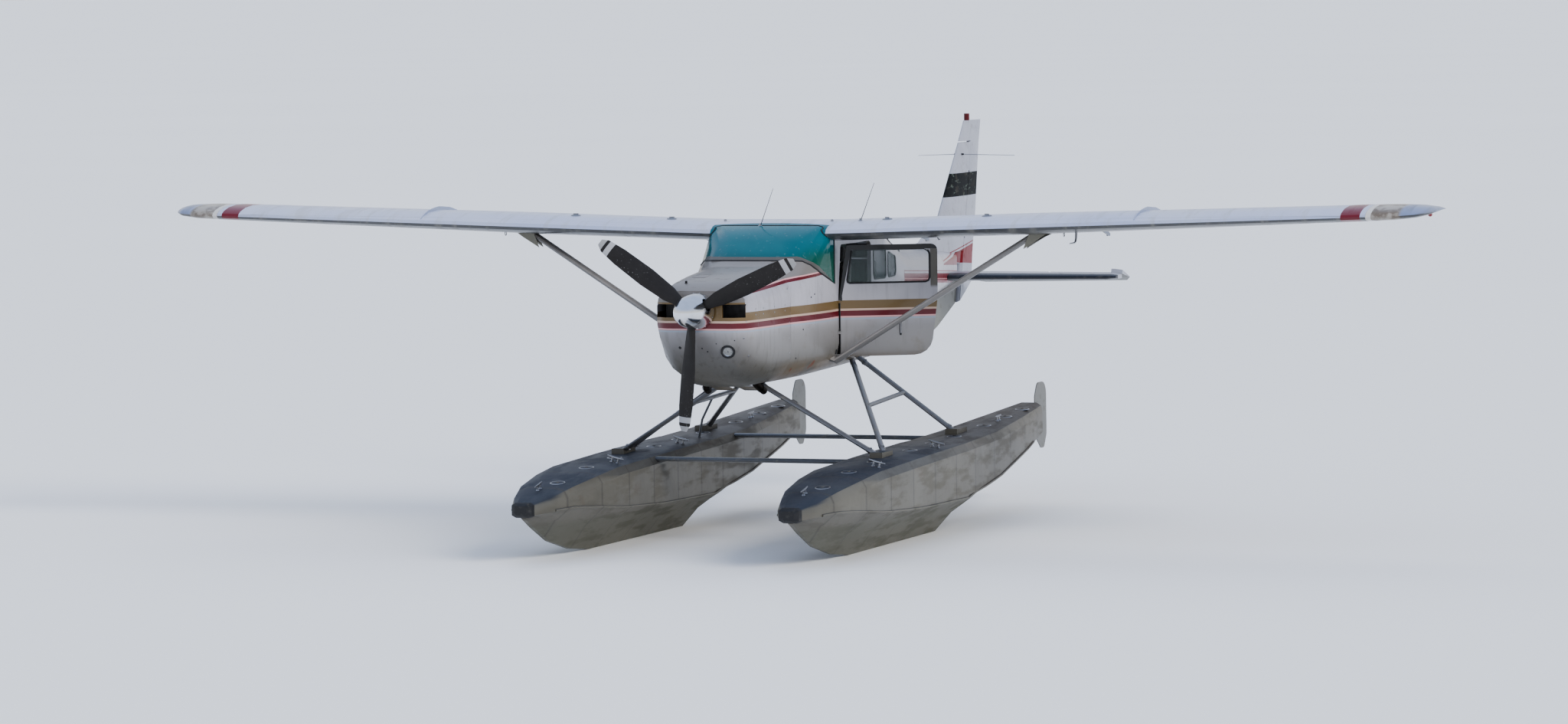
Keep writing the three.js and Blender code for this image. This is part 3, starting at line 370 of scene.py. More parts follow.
def wing_paint(name, tip=False, roof=False):
    coat = Finish(name, {"Coat Weight": 0.3, "Coat Roughness": 0.12})
    out, aft, _ = coat.place()
    facing = coat.facing()
    span = abs(out)
    # Bluish white: painted sky reflection on the white paint, in uneven patches
    coat.base(coat.mottle(0.9, 4).above(0.5, 0.25), (0.44, 0.49, 0.66), (0.52, 0.55, 0.66))
    # Painted shade: faces turned less upward go darker blue
    coat.over((1 - facing.above(0.3, 0.5)) * 0.85, (0.18, 0.23, 0.345))
    # Painted shade: the underside is dark olive
    under = 1 - facing.above(-0.14, 0.16)
    coat.over(under * 0.9, (0.07, 0.068, 0.058))
    streaks = coat.mottle(4, 5, (2.5, 0.3, 1.0)).above(0.6, 0.1)
    coat.over(streaks * 0.3, (0.36, 0.34, 0.3))
    bugs = coat.mottle(45, 3).above(0.7, 0.05) * (1 - aft.above(2.06, 0.12))
    coat.over(bugs * 0.35, DIRT)
    lines = seam_lines([aft - row for row in WING_ROWS[:2]])
    rivets = rivet_rows([aft - row for row in WING_ROWS], out, 0.04)
    rivets = rivets.at_least(rivet_rows([span.apart(RIB_PITCH)], aft, 0.04))
    coat.over(lines * 0.55, (0.15, 0.15, 0.15))
    coat.over(rivets * 0.28, (0.18, 0.18, 0.18))
    if tip:
        blotch = coat.mix(coat.mottle(7, 4).above(0.48, 0.08), (0.16, 0.13, 0.1), (0.34, 0.31, 0.27))
        coat.over(1 - span.above(BARE_TIP, 0.02), blotch)
        coat.over(span.within(*TIP_BAND), (0.6, 0.58, 0.55))
    else:
        coat.over(span.within(*WING_BAND), (0.15, 0.006, 0.014))
    if roof:
        shade = (1 - (aft + span * span * 0.2).above(2.1, 0.004)) * (1 - span.above(0.575, 0.004))
        coat.over(shade, TEAL)
    height = rivets * 0.5 - lines + coat.mottle(2.6, 2) * 1.2
    shine = span.above(BARE_TIP, 0.02) * 0.9 if tip else 0.0
    return coat.done(0.3 + streaks * 0.2 + bugs * 0.2, height, 0.0012, shine)


def tail_paint(name, fin=False):
    coat = Finish(name, {"Coat Weight": 0.0 if fin else 0.2, "Specular IOR Level": 0.35})
    out, aft, up = coat.place()
    coat.base(coat.mottle(2.0, 4).above(0.5, 0.2), (0.375, 0.385, 0.43), (0.315, 0.325, 0.37))
    band = 0.0
    if fin:
        band = up.within(0.765, 1.0)
        wear = coat.mottle(14, 5, (1, 1, 3)).above(0.62, 0.05)
        coat.over(band, coat.mix(wear * 0.5, (0.01, 0.011, 0.011), (0.14, 0.17, 0.14)))
        # Flash at the foot: a wedge that widens aft
        top = 0.119 + flash_climb(aft)
        lower = up.above(0.107 - (aft - 7.06) * 0.056)
        coat.over(lower * (1 - (up - top).above(0)), FLASH_RED)
        line = (up - top).within(0.02, 0.032)
        coat.over(line, (0.2, 0.015, 0.018))
        coat.over(up.above(1.53) * aft.within(7.79, 7.87), (0.1, 0.01, 0.012))
        rows = [up - 0.36, up - 0.72, up - 1.06]
        rivets = rivet_rows(rows, aft, 0.035)
    else:
        facing = coat.facing()
        # Painted shade: the underside is dark olive
        coat.over(1 - facing.above(-0.2, 0.15), (0.06, 0.062, 0.048))
        lead = 1 - (aft - abs(out) * 0.11).above(6.8, 0.01)
        coat.over(lead, (0.006, 0.007, 0.012))
        rivets = rivet_rows([abs(out).apart(0.31)], aft, 0.035)
    grime = coat.mottle(12, 5).above(0.62, 0.1)
    coat.over(grime * 0.2, DIRT)
    coat.over(rivets * 0.25, (0.2, 0.2, 0.2))
    return coat.done(0.36 + grime * 0.2 + band * 0.4, rivets * 0.5 + coat.mottle(3, 2), 0.001)


def float_skin(name):
    """Weathered alloy floats: dark deck, grey-beige sides with stains, seams and rivets."""
    coat = Finish(name, {"Coat Weight": 0.05})
    out, aft, up = coat.place()
    facing = coat.facing()
    blotch = coat.mottle(1.8, 5)
    coat.base(blotch.above(0.5, 0.35), (0.118, 0.112, 0.093), (0.165, 0.158, 0.134))
    stain = coat.mottle(6, 6, (1.0, 0.35, 1.6)).above(0.56, 0.1)
    coat.over(stain * 0.16, (0.075, 0.064, 0.048))
    coat.over(aft.above(3.4, 1.6) * 0.35, (0.08, 0.068, 0.055))
    rusty = coat.mottle(3.2, 5).above(0.66, 0.05)
    coat.over(rusty * 0.2, (0.1, 0.062, 0.036))
    waterline = 1 - up.above(-1.9, 0.05)
    coat.over(waterline * 0.5, (0.09, 0.096, 0.07))
    deck = facing.above(0.55, 0.12)
    boards = coat.mix(blotch.above(0.5, 0.2), (0.022, 0.029, 0.046), (0.05, 0.058, 0.074))
    boards = coat.mix(aft.above(2.6, 1.2) * 0.8, boards, (0.095, 0.08, 0.062))
    coat.over(deck * 0.9, boards)
    seams = aft.apart(FLOAT_SEAM_PITCH)
    lines = 1 - seams.above(0.0016, 0.0008)
    rivets = rivet_rows([seams - 0.014], up + abs(abs(out) - 1.28), 0.03, 0.0026)
    coat.over((1 - seams.above(0.018, 0.004)) * 0.35, (0.08, 0.075, 0.066))
    coat.over(lines * 0.8, (0.03, 0.03, 0.03))
    coat.over(rivets * 0.35, (0.08, 0.08, 0.08))
    rough = 0.42 + stain * 0.25 + deck * 0.12
    height = rivets * 0.5 - lines + coat.mottle(3.4, 3) * 3.0 + stain * 0.1
    return coat.done(rough, height, 0.0016, 0.35 - stain * 0.2 - deck * 0.1)


def strut_paint(name, tint=(0.5, 0.49, 0.54), metallic=0.0):
    coat = Finish(name, {"Coat Weight": 0.15})
    facing = coat.facing()
    wear = coat.mottle(16, 5).above(0.62, 0.06)
    streak = coat.mottle(5, 3)
    coat.base(streak, tint, darker(tint, 0.72))
    coat.over(wear * 0.5, (0.22, 0.21, 0.19))
    # Painted shade: faces turned down are darker
    coat.over((1 - facing.above(-0.25, 0.3)) * 0.6, (0.13, 0.13, 0.13))
    return coat.done(0.34 + wear * 0.3, coat.mottle(40, 3), 0.0004, metallic)


def plain_rubber(name, tint=(0.018, 0.018, 0.019)):
    coat = Finish(name)
    worn = coat.mottle(22, 5)
    scuff = worn.above(0.62, 0.08)
    coat.base(scuff * 0.5, tint, (0.09, 0.088, 0.082))
    return coat.done(0.55 + scuff * 0.3, worn + coat.mottle(160, 2) * 0.2, 0.0008)


def blade_paint(name):
    """Charcoal propeller blades with a white band near the tip, a grey tip and pale nicks on their outer
    part.
    """
    coat = Finish(name, {"Specular IOR Level": 0.3})
    out, _, up = coat.place()
    reach = (out * out + up * up).root()
    coat.base(coat.mottle(9, 5), (0.017, 0.015, 0.014), (0.034, 0.031, 0.029))
    nicks = coat.mottle(55, 4).above(0.68, 0.05) * reach.above(0.55, 0.2)
    coat.over(nicks * 0.6, (0.28, 0.28, 0.28))
    coat.over(reach.within(0.962, 1.015), (0.4, 0.4, 0.41))
    coat.over(reach.above(1.045), (0.33, 0.33, 0.33))
    return coat.done(0.5 + nicks * 0.2, coat.mottle(70, 3), 0.0004)


def bright_metal(name, tint=(0.8, 0.81, 0.83), rough=0.1):
    coat = Finish(name)
    fine = coat.mottle(30, 4, (1, 6, 1))
    smear = coat.mottle(8, 4).above(0.55, 0.15)
    coat.base(smear * 0.35, tint, darker(tint, 0.8))
    return coat.done(rough + smear * 0.08 + fine * 0.04, fine, 0.0001, 1.0)


def cast_metal(name, tint=(0.22, 0.22, 0.23)):
    coat = Finish(name)
    _, aft, _ = coat.place()
    fins = aft.apart(0.012).above(0.003, 0.001)
    soot = coat.mottle(11, 5)
    coat.base(soot, tint, (0.06, 0.055, 0.05))
    return coat.done(0.5 + soot * 0.2, fins, 0.003, 0.6)


def windshield_glass(name):
    """Teal tinted glass over a dark cabin, in a painted retaining strip."""
    coat = Finish(name, {"Coat Weight": 0.2, "Coat Roughness": 0.06, "Specular IOR Level": 0.25})
    out, aft, up = coat.place()
    haze = coat.mottle(3.0, 4)
    coat.base(haze.above(0.5, 0.25), TEAL, TEAL_LIGHT)
    coat.over((1 - up.above(0.43, 0.1)) * 0.75, TEAL_DEEP)
    corner = (up - 0.3).above(0.16, 0.12)
    coat.over((1 - corner) * abs(out).above(0.46, 0.09) * 0.8, (0.01, 0.085, 0.05))
    sill = up - (0.398 - (aft - 1.512).at_least(0) * 0.5)
    strip = 1 - sill.above(0.03, 0.002)
    coat.over(strip, (0.1, 0.095, 0.088))
    scratch = coat.mottle(26, 5, (1, 1, 0.3)).above(0.66, 0.06)
    coat.over(scratch * 0.12, (0.4, 0.5, 0.5))
    return coat.done(0.1 + strip * 0.25 + scratch * 0.1, haze, 0.0006)


def window_glass(name):
    coat = Finish(name, {"Alpha": 0.22, "Specular IOR Level": 0.6, "Coat Weight": 0.5})
    haze = coat.mottle(5, 4)
    coat.base(haze, (0.1, 0.14, 0.13), (0.16, 0.2, 0.19))
    return coat.done(0.05 + haze * 0.05)


def lens(name, tint, alpha):
    coat = Finish(name, {"Alpha": alpha, "Coat Weight": 1.0})
    ribs = coat.mottle(90, 2)
    coat.base(ribs, tint, darker(tint, 0.75))
    return coat.done(0.08 + ribs * 0.06, ribs, 0.0005)


def seat_fabric(name):
    coat = Finish(name, {"Sheen Weight": 0.4})
    out, aft, up = coat.place()
    weave = (out.apart(0.003) + (aft + up).apart(0.003)) * 300
    worn = coat.mottle(7, 4)
    coat.base(worn, (0.06, 0.061, 0.06), (0.115, 0.114, 0.108))
    return coat.done(0.85 + worn * 0.1, weave, 0.0006)


def cabin_lining(name, tint=(0.3, 0.29, 0.27)):
    coat = Finish(name)
    grain = coat.mottle(120, 3)
    coat.base(coat.mottle(4, 4), tint, darker(tint, 0.7))
    return coat.done(0.75 + grain * 0.1, grain, 0.0008)


def black_plastic(name, tint=(0.02, 0.02, 0.021)):
    coat = Finish(name)
    grain = coat.mottle(240, 2)
    coat.base(coat.mottle(9, 4), tint, (0.045, 0.044, 0.042))
    return coat.done(0.5 + grain * 0.15, grain, 0.0004)


hull_white = hull_paint("hull_paint")
cowl_white = hull_paint("cowl_paint", cowl=True)
door_white_shaded = hull_paint("door_paint", turned=True)
wing_white = wing_paint("wing_paint")
tip_blotchy = wing_paint("tip_paint", tip=True)
roof_white = wing_paint("roof_paint", roof=True)
fin_white = tail_paint("fin_paint", fin=True)
tailplane_white = tail_paint("tailplane_paint")
float_grey = float_skin("float_skin")
strut_grey = strut_paint("strut_paint", (0.33, 0.31, 0.29))
# The float struts' darker tint is painted shade
float_strut_shaded = strut_paint("float_strut_paint", (0.135, 0.14, 0.155), 0.2)
cuff_dark = strut_paint("strut_cuff_paint", (0.24, 0.23, 0.18))
# The lower fin is white paint, given a dark grey as painted shade
lower_fin_shaded = strut_paint("lower_fin_paint", (0.15, 0.15, 0.125))
bar_dark = strut_paint("spreader_paint", (0.1, 0.115, 0.14))
rudder_alloy = strut_paint("water_rudder_alloy", (0.145, 0.143, 0.125), 0.3)
rubber = plain_rubber("worn_rubber")
blade_charcoal = blade_paint("blade_paint")
spinner_bright = bright_metal("polished_spinner")
engine_cast = cast_metal("engine_casting")
teal_glass = windshield_glass("teal_windshield")
side_glass = window_glass("side_window_glass")
cushion_cloth = seat_fabric("seat_fabric")
lining = cabin_lining("cabin_lining")
carpet = cabin_lining("cabin_carpet", (0.06, 0.06, 0.062))
panel_black = black_plastic("panel_plastic")
radio_grey = black_plastic("radio_plastic", (0.06, 0.06, 0.065))
dial_face = black_plastic("dial_face", (0.008, 0.008, 0.009))
piping_cloth = cabin_lining("seat_piping", (0.035, 0.035, 0.034))
bright_hardware = bright_metal("worn_hardware", (0.42, 0.42, 0.43), 0.28)
burnt_steel = bright_metal("burnt_exhaust", (0.032, 0.026, 0.022), 0.5)
black_inside = plain_rubber("sooty_black", (0.004, 0.004, 0.004))
lamp_glass = lens("landing_light_glass", (0.75, 0.78, 0.78), 0.25)
red_lens = lens("red_lens", (0.3, 0.008, 0.01), 0.85)
green_lens = lens("green_lens", (0.006, 0.18, 0.06), 0.85)


# Skins: a merged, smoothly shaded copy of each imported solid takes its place

def merged(node):
    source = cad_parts[node]
    bm = bmesh.new()
    bm.from_mesh(source.data)
    bm.transform(source.matrix_world)
    bmesh.ops.remove_doubles(bm, verts=bm.verts, dist=0.00002)
    return bm


def shaded(bm, sharp):
    """Smooth faces, with the edges sharp where they turn by more than this many degrees."""
    bm.normal_update()
    for face in bm.faces:
        face.smooth = True
    for edge in bm.edges:
        edge.smooth = edge.calc_face_angle(math.pi) < math.radians(sharp)


def mesh_of(bm, name, finishes=()):
    mesh = bpy.data.meshes.new(name)
    bm.to_mesh(mesh)
    bm.free()
    for finish in finishes:
        mesh.materials.append(finish)
    return mesh


def skin(node, slot, finishes, sharp, lined=None):
    """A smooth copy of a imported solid; lined says which of its faces line the cabin."""
    bm = merged(node)
    bmesh.ops.dissolve_degenerate(bm, edges=bm.edges, dist=0.00002)
    if lined:
        for face in bm.faces:
            face.material_index = lined(face, node == "pilot_door")
    shaded(bm, sharp)
    piece = added(f"{node}_skin", mesh_of(bm, f"{node}_skin", finishes))
    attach(piece, body_of(node))
    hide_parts(node)


def outwardness(face, turned):
    """How squarely a face looks away from the hull's middle, with the open door's taken as shut."""
    centre = face.calc_center_median()
    normal = face.normal
    if turned:
        centre = swung(centre, DOOR_OPEN)
        normal = Matrix.Rotation(DOOR_OPEN, 3, "Z") @ normal
    return normal.dot(Vector((centre.x, 0, centre.z - THRUST_UP)).normalized())


def cabin_side(face, turned):
    """0 for the painted outside, 1 for the lining and 2 for the floor."""
    if outwardness(face, turned) > -0.25:
        return 0
    return 2 if face.normal.z > 0.7 else 1


def body_of(node):
    """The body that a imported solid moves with."""
    if node in ("propeller_blades", "spinner"):
        return "propeller"
    whole = node.removesuffix("_window")
    moving = whole.startswith(("pilot_door", "cargo_door", "flap", "aileron", "water_rudder",
        "rudder", "elevator"))
    return whole if moving else "airframe"


CABIN_SKINS = {"fuselage_shell": (hull_white, carpet), "pilot_door": (door_white_shaded, lining),
    "cargo_door_front": (hull_white, lining), "cargo_door_rear": (hull_white, lining)}
SKINS = (
    ("white_paint", roof_white, 32, "cabin_roof"),
    ("teal_glass", teal_glass, 40, "windshield"),
    ("white_paint", cowl_white, 55, "cowling_upper cowling_lower"),
    ("engine_metal", engine_cast, 30, "engine_block"),
    ("clear_glass", side_glass, 40, "rear_window starboard_window port_middle_window port_aft_window"),
    ("clear_glass", side_glass, 40, "pilot_door_window cargo_door_front_window cargo_door_rear_window"),
    ("white_paint", fin_white, 32, "fin rudder"),
    ("white_paint", lower_fin_shaded, 32, "lower_fin"),
    ("white_paint", tailplane_white, 32, "stabilizer elevator"),
    ("blade_paint", blade_charcoal, 40, "propeller_blades"),
    ("polished_metal", spinner_bright, 40, "spinner"),
    ("black_plastic", panel_black, 30, "instrument_panel"),
    ("grey_alloy", bar_dark, 40, "front_spreader_bar rear_spreader_bar"),
)
SIDE_SKINS = (
    ("white_paint", wing_white, 30, "wing"),
    ("tip_composite", tip_blotchy, 50, "wing_tip"),
    ("white_paint", wing_white, 30, "flap aileron"),
    ("float_alloy", float_grey, 30, "float"),
    ("black_rubber", rubber, 30, "bow_bumper"),
    ("grey_alloy", strut_grey, 40, "wing_strut"),
    ("grey_alloy", float_strut_shaded, 40, "front_strut diagonal_strut rear_strut"),
    ("grey_alloy", rudder_alloy, 30, "water_rudder_post water_rudder_blade"),
)
for node, (paint, floor) in CABIN_SKINS.items():
    skin(node, "white_paint", [paint, lining, floor], 40, cabin_side)
for slot, finish, sharp, nodes in SKINS:
    for node in nodes.split():
        skin(node, slot, [finish], sharp)
for name, _ in SIDES:
    for slot, finish, sharp, nodes in SIDE_SKINS:
        for node in nodes.split():
            skin(f"{node}_{name}", slot, [finish], sharp)


# Parts of new pieces

def turned(profile, place, steps=24):
    """A round part spun from a profile of (radius, height) about the place's own z axis."""
    part = bmesh.new()
    spine = [part.verts.new((radius, 0, height)) for radius, height in profile]
    edges = [part.edges.new(pair) for pair in zip(spine, spine[1:])]
    bmesh.ops.spin(part, geom=spine + edges, cent=(0, 0, 0), axis=(0, 0, 1), angle=2 * math.pi,
        steps=steps, use_merge=True)
    bmesh.ops.remove_doubles(part, verts=part.verts, dist=0.000001)
    part.transform(place)
    return part


def bevelled(part, edge, segments=2):
    if edge:
        bmesh.ops.bevel(part, geom=part.edges, offset=edge, offset_type="OFFSET", segments=segments,
            profile=0.5, affect="EDGES", material=-1)


def slab(size, place, edge=0.0, segments=2):
    """A box with bevelled edges."""
    part = bmesh.new()
    bmesh.ops.create_cube(part, size=1)
    bmesh.ops.scale(part, vec=size, verts=part.verts)
    bevelled(part, edge, segments)
    part.transform(place)
    return part


def plate(outline, thickness, place, edge=0.0):
    """A flat part cut to an outline in its place's own x and y."""
    part = bmesh.new()
    face = part.faces.new([part.verts.new((x, y, -thickness / 2)) for x, y in outline])
    raised = bmesh.ops.extrude_face_region(part, geom=[face])["geom"]
    top = [item for item in raised if isinstance(item, bmesh.types.BMVert)]
    bmesh.ops.translate(part, vec=(0, 0, thickness), verts=top)
    bevelled(part, edge)
    part.transform(place)
    return part


def along_path(points, closed=False):
    """A place at each point of a path, with z along it, turning as little as it can."""
    count = len(points)
    runs = []
    for k in range(count):
        before = points[k - 1] if k or closed else points[0]
        after = points[(k + 1) % count] if k + 1 < count or closed else points[-1]
        runs.append((after - before).normalized())
    side = runs[0].orthogonal().normalized()
    places = []
    for point, run in zip(points, runs):
        side = (side - run * side.dot(run)).normalized()
        turn = Matrix((side, run.cross(side), run)).transposed().to_4x4()
        places.append(move(point) @ turn)
    return places


def tube(points, radius, sides=8, closed=False, squash=1.0):
    """A round rod, wire or seal along a path; a list of radii gives one for each point."""
    part = bmesh.new()
    rings = []
    ends = (0, len(points) - 1)
    for k, place in enumerate(along_path(points, closed)):
        size = radius[k] if isinstance(radius, list) else radius
        made = bmesh.ops.create_circle(part, cap_ends=not closed and k in ends, segments=sides,
            radius=size, matrix=place @ Matrix.Diagonal((1, squash, 1, 1)))
        corners = set(made["verts"])
        rings.append([edge for edge in part.edges if edge.verts[0] in corners and edge.verts[1] in corners])
    pairs = list(zip(rings, rings[1:])) + ([(rings[-1], rings[0])] if closed else [])
    for first, second in pairs:
        bmesh.ops.bridge_loops(part, edges=first + second)
    return part


def onto(point, normal, spin=0.0):
    """A place on a surface whose own z axis stands away from it."""
    turn = Vector(normal).to_track_quat("Z", "Y").to_matrix().to_4x4()
    return move(point) @ turn @ Matrix.Rotation(spin, 4, "Z")


# A plate's x runs aft and its y up
UPRIGHT = Matrix(((0, 0, 1, 0), (1, 0, 0, 0), (0, 1, 0, 0), (0, 0, 0, 1)))


class Piece:
    """A new piece in the making; each part added to it takes one of its finishes."""

    def __init__(self, name, *finishes, body="airframe", slot="grey_alloy"):
        self.name, self.finishes, self.body, self.slot = name, finishes, body, slot
        self.bm = bmesh.new()

    def add(self, part, finish=0):
        bmesh.ops.recalc_face_normals(part, faces=part.faces)
        for face in part.faces:
            face.material_index = finish
        mesh = mesh_of(part, "part")
        self.bm.from_mesh(mesh)
        bpy.data.meshes.remove(mesh)

    def turn(self, profile, place, steps, finish=0):
        self.add(turned(profile, place, steps), finish)

    def done(self, sharp=35, replaces=()):
        shaded(self.bm, sharp)
        made = added(self.name, mesh_of(self.bm, self.name, self.finishes))
        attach(made, self.body)
        if replaces:
            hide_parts(*replaces)
        return made


SURFACES = {}
DOWN = (0, 0, -1)
LIFT = (0, 0, 1)


def surface(node, start, direction):
    """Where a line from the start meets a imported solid, and the way its surface faces there."""
    if node not in SURFACES:
        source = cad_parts[node]
        corners = [source.matrix_world @ vertex.co for vertex in source.data.vertices]
        SURFACES[node] = BVHTree.FromPolygons(corners,
            [tuple(face.vertices) for face in source.data.polygons])
    point, normal, _, _ = SURFACES[node].ray_cast(start, Vector(direction).normalized())
    return point, normal


def spot(node, start, direction, spin=0.0):
    """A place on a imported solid, where a line from the start meets it."""
    return onto(*surface(node, start, direction), spin)


def wing_top(name, side, out, aft, below=False):
    start = at(side * out, aft, -0.5 if below else 2.0)
    return surface(f"wing_{name}", start, LIFT if below else DOWN)


# Window and windshield seals follow the outer edge of each pane

def outer_rims(node, turned_back):
    bm = merged(node)
    outer = {face.index for face in bm.faces if outwardness(face, turned_back) > 0.45}
    links = {}
    for edge in bm.edges:
        if len(edge.link_faces) == 2 and len({face.index in outer for face in edge.link_faces}) == 2:
            for a, b in (edge.verts, reversed(list(edge.verts))):
                links.setdefault(a.index, []).append(b.index)
    places = {vertex.index: vertex.co.copy() for vertex in bm.verts}
    bm.free()
    loops = []
    while links:
        here = next(iter(links))
        loop = [here]
        while links.get(here):
            following = links[here].pop()
            links[following].remove(here)
            if not links[here]:
                del links[here]
            here = following
            loop.append(here)
        links.pop(here, None)
        loops.append([places[index] for index in loop[:-1]])
    return loops


def evened(loop, step=0.02):
    """The same closed path without points that lie closer together than a step."""
    kept = [loop[0]]
    for point in loop[1:]:
        if (point - kept[-1]).length > step:
            kept.append(point)
    if (kept[-1] - kept[0]).length < step:
        kept.pop()
    return kept


def build_seal(node, body, radius=0.0075, turned_back=False):
    seal = Piece(f"{node}_seal", rubber, body=body, slot="black_rubber")
    for loop in outer_rims(node, turned_back):
        length = sum((a - b).length for a, b in zip(loop, loop[1:]))
        if length > 0.5:
            seal.add(tube(evened(loop), radius, 8, closed=True))
    seal.done()


def build_seals():
    for pane in ("windshield", "rear_window", "starboard_window", "port_middle_window",
            "port_aft_window"):
        build_seal(pane, "airframe")
    build_seal("pilot_door_window", "pilot_door", 0.009, turned_back=True)
    build_seal("cargo_door_front_window", "cargo_door_front")
    build_seal("cargo_door_rear_window", "cargo_door_rear")


# Nose: landing light, fasteners, exhausts and cowl flaps

LIGHT_PLACE = at(0.257, 0.144, -0.375)
LIGHT_FACING = (0.25, -0.9, -0.37)


def build_landing_light():
    light = Piece("landing_light", rubber, lamp_glass, spinner_bright, slot="polished_metal")
    place = onto(LIGHT_PLACE, LIGHT_FACING)
    light.turn([(0.046, -0.012), (0.046, 0.002), (0.052, 0.008), (0.06, 0.008), (0.066, 0.003),
        (0.066, -0.012)], place, 32)
    light.turn([(0.0, -0.028), (0.02, -0.024), (0.038, -0.012), (0.046, 0.0)], place, 32, 2)
    light.turn([(0.0, 0.006), (0.02, 0.005), (0.036, 0.002), (0.046, -0.002)], place, 32, 1)
    light.turn([(0.0, -0.01), (0.009, -0.008), (0.011, 0.0), (0.0, 0.002)], place, 16)
    light.done()


COWL_STUDS = ((0.16, 0.1), (0.16, -0.1), (0.16, -0.25), (0.3, -0.42), (0.5, -0.045), (0.75, -0.045),
    (1.0, -0.045), (0.5, 0.005), (0.75, 0.005), (1.0, 0.005), (1.1, 0.15), (1.1, -0.16), (1.1, -0.3),
    (1.1, -0.44), (0.34, 0.005), (0.34, -0.045))


def stud(place, radius=0.008):
    return turned([(0, 0.0022), (radius * 0.6, 0.002), (radius, 0.0008), (radius * 1.1, -0.001)],
        place, 10)


def build_cowl_fittings():
    kit = Piece("cowl_fittings", bright_hardware, rubber, cowl_white)
    for _, side in SIDES:
        for aft, up in COWL_STUDS:
            node = "cowling_upper" if up > -0.02 else "cowling_lower"
            kit.add(stud(spot(node, at(side * 1.5, aft, up), (-side, 0, 0))))
    # Small drain and bolt holes in the chin
    for out, up, radius in ((-0.201, -0.34, 0.016), (0.015, -0.345, 0.008), (0.063, -0.374, 0.008),
            (0.16, -0.3, 0.006), (0.33, -0.27, 0.006)):
        place = spot("cowling_lower", at(out, -1, up), (0, 1, 0))
        kit.turn([(0, 0.001), (radius * 0.8, 0.001), (radius, -0.001)], place, 14, 1)
    # Oil door on the starboard side of the top
    place = spot("cowling_upper", at(-0.17, 0.62, 1), DOWN)
    kit.add(slab((0.13, 0.16, 0.003), place @ move((0, 0, 0.0006)), 0.0012), 2)
    # Knob of the fuel primer drain that stands on the top
    place = spot("cowling_upper", at(-0.2, 0.3, 1), DOWN)
    kit.turn([(0, 0.022), (0.01, 0.021), (0.012, 0.012), (0.008, 0.004), (0.016, 0.0), (0.016, -0.003)],
        place, 14, 1)
    kit.done()


def build_exhausts():
    stacks = Piece("exhaust_stacks", burnt_steel, black_inside, slot="engine_metal")
    for _, side in SIDES:
        path = [at(side * out, aft, up) for out, aft, up in ((0.22, 0.84, -0.66), (0.25, 0.9, -0.725),
            (0.27, 0.96, -0.765), (0.275, 1.02, -0.79))]
        stacks.add(tube(path, 0.034, 18))
        mouth = (path[-1] - path[-2]).normalized()
        stacks.turn([(0.0, 0.0005), (0.029, 0.0005)], onto(path[-1] + mouth * 0.001, mouth), 18, 1)
        stacks.turn([(0.036, -0.02), (0.038, -0.012), (0.036, -0.004)], onto(path[-2], mouth), 18)
    stacks.done()
    flaps = Piece("cowl_flaps", cowl_white, bright_hardware, slot="white_paint")
    for _, side in SIDES:
        flap = move(at(side * 0.135, 0.9, -0.738)) @ Matrix.Rotation(math.radians(-13), 4, "X")
        flaps.add(slab((0.19, 0.25, 0.004), flap @ move((0, 0.125, 0)), 0.0015))
        flaps.add(tube([flap @ Vector((-0.09, 0, 0.002)), flap @ Vector((0.09, 0, 0.002))], 0.005, 8), 1)
    flaps.done()


# Propeller: cuffs where the blades leave the spinner, and the spinner's screws

BLADE_ANGLES = [-math.pi / 2 - 0.09 + k * 2 * math.pi / 3 for k in range(3)]


def build_propeller_fittings():
    kit = Piece("propeller_fittings", bright_hardware, rubber, body="propeller", slot="polished_metal")
    for angle in BLADE_ANGLES:
        run = Vector((math.cos(angle), 0, math.sin(angle)))
        kit.turn([(0.05, 0.0), (0.054, 0.006), (0.054, 0.03), (0.05, 0.036), (0.046, 0.036)],
            onto(at(0, -0.07, 0) + run * 0.095, run), 24)
    for k in range(18):
        angle = k / 18 * 2 * math.pi
        if min(abs(math.remainder(angle - blade, 2 * math.pi)) for blade in BLADE_ANGLES) > 0.45:
            run = Vector((math.cos(angle), 0, math.sin(angle)))
            kit.add(stud(onto(at(0, 0.035, 0) + run * 0.1655, run), 0.006))
    kit.done()


# Wings: caps, fences, lights and hardware

def hanging_ring(point, radius, drop, wire):
    angles = [k / 14 * 2 * math.pi for k in range(14)]
    ring = [point + Vector((0, radius * math.cos(a), -drop + radius * math.sin(a))) for a in angles]
    return tube(ring, wire, 8, closed=True)


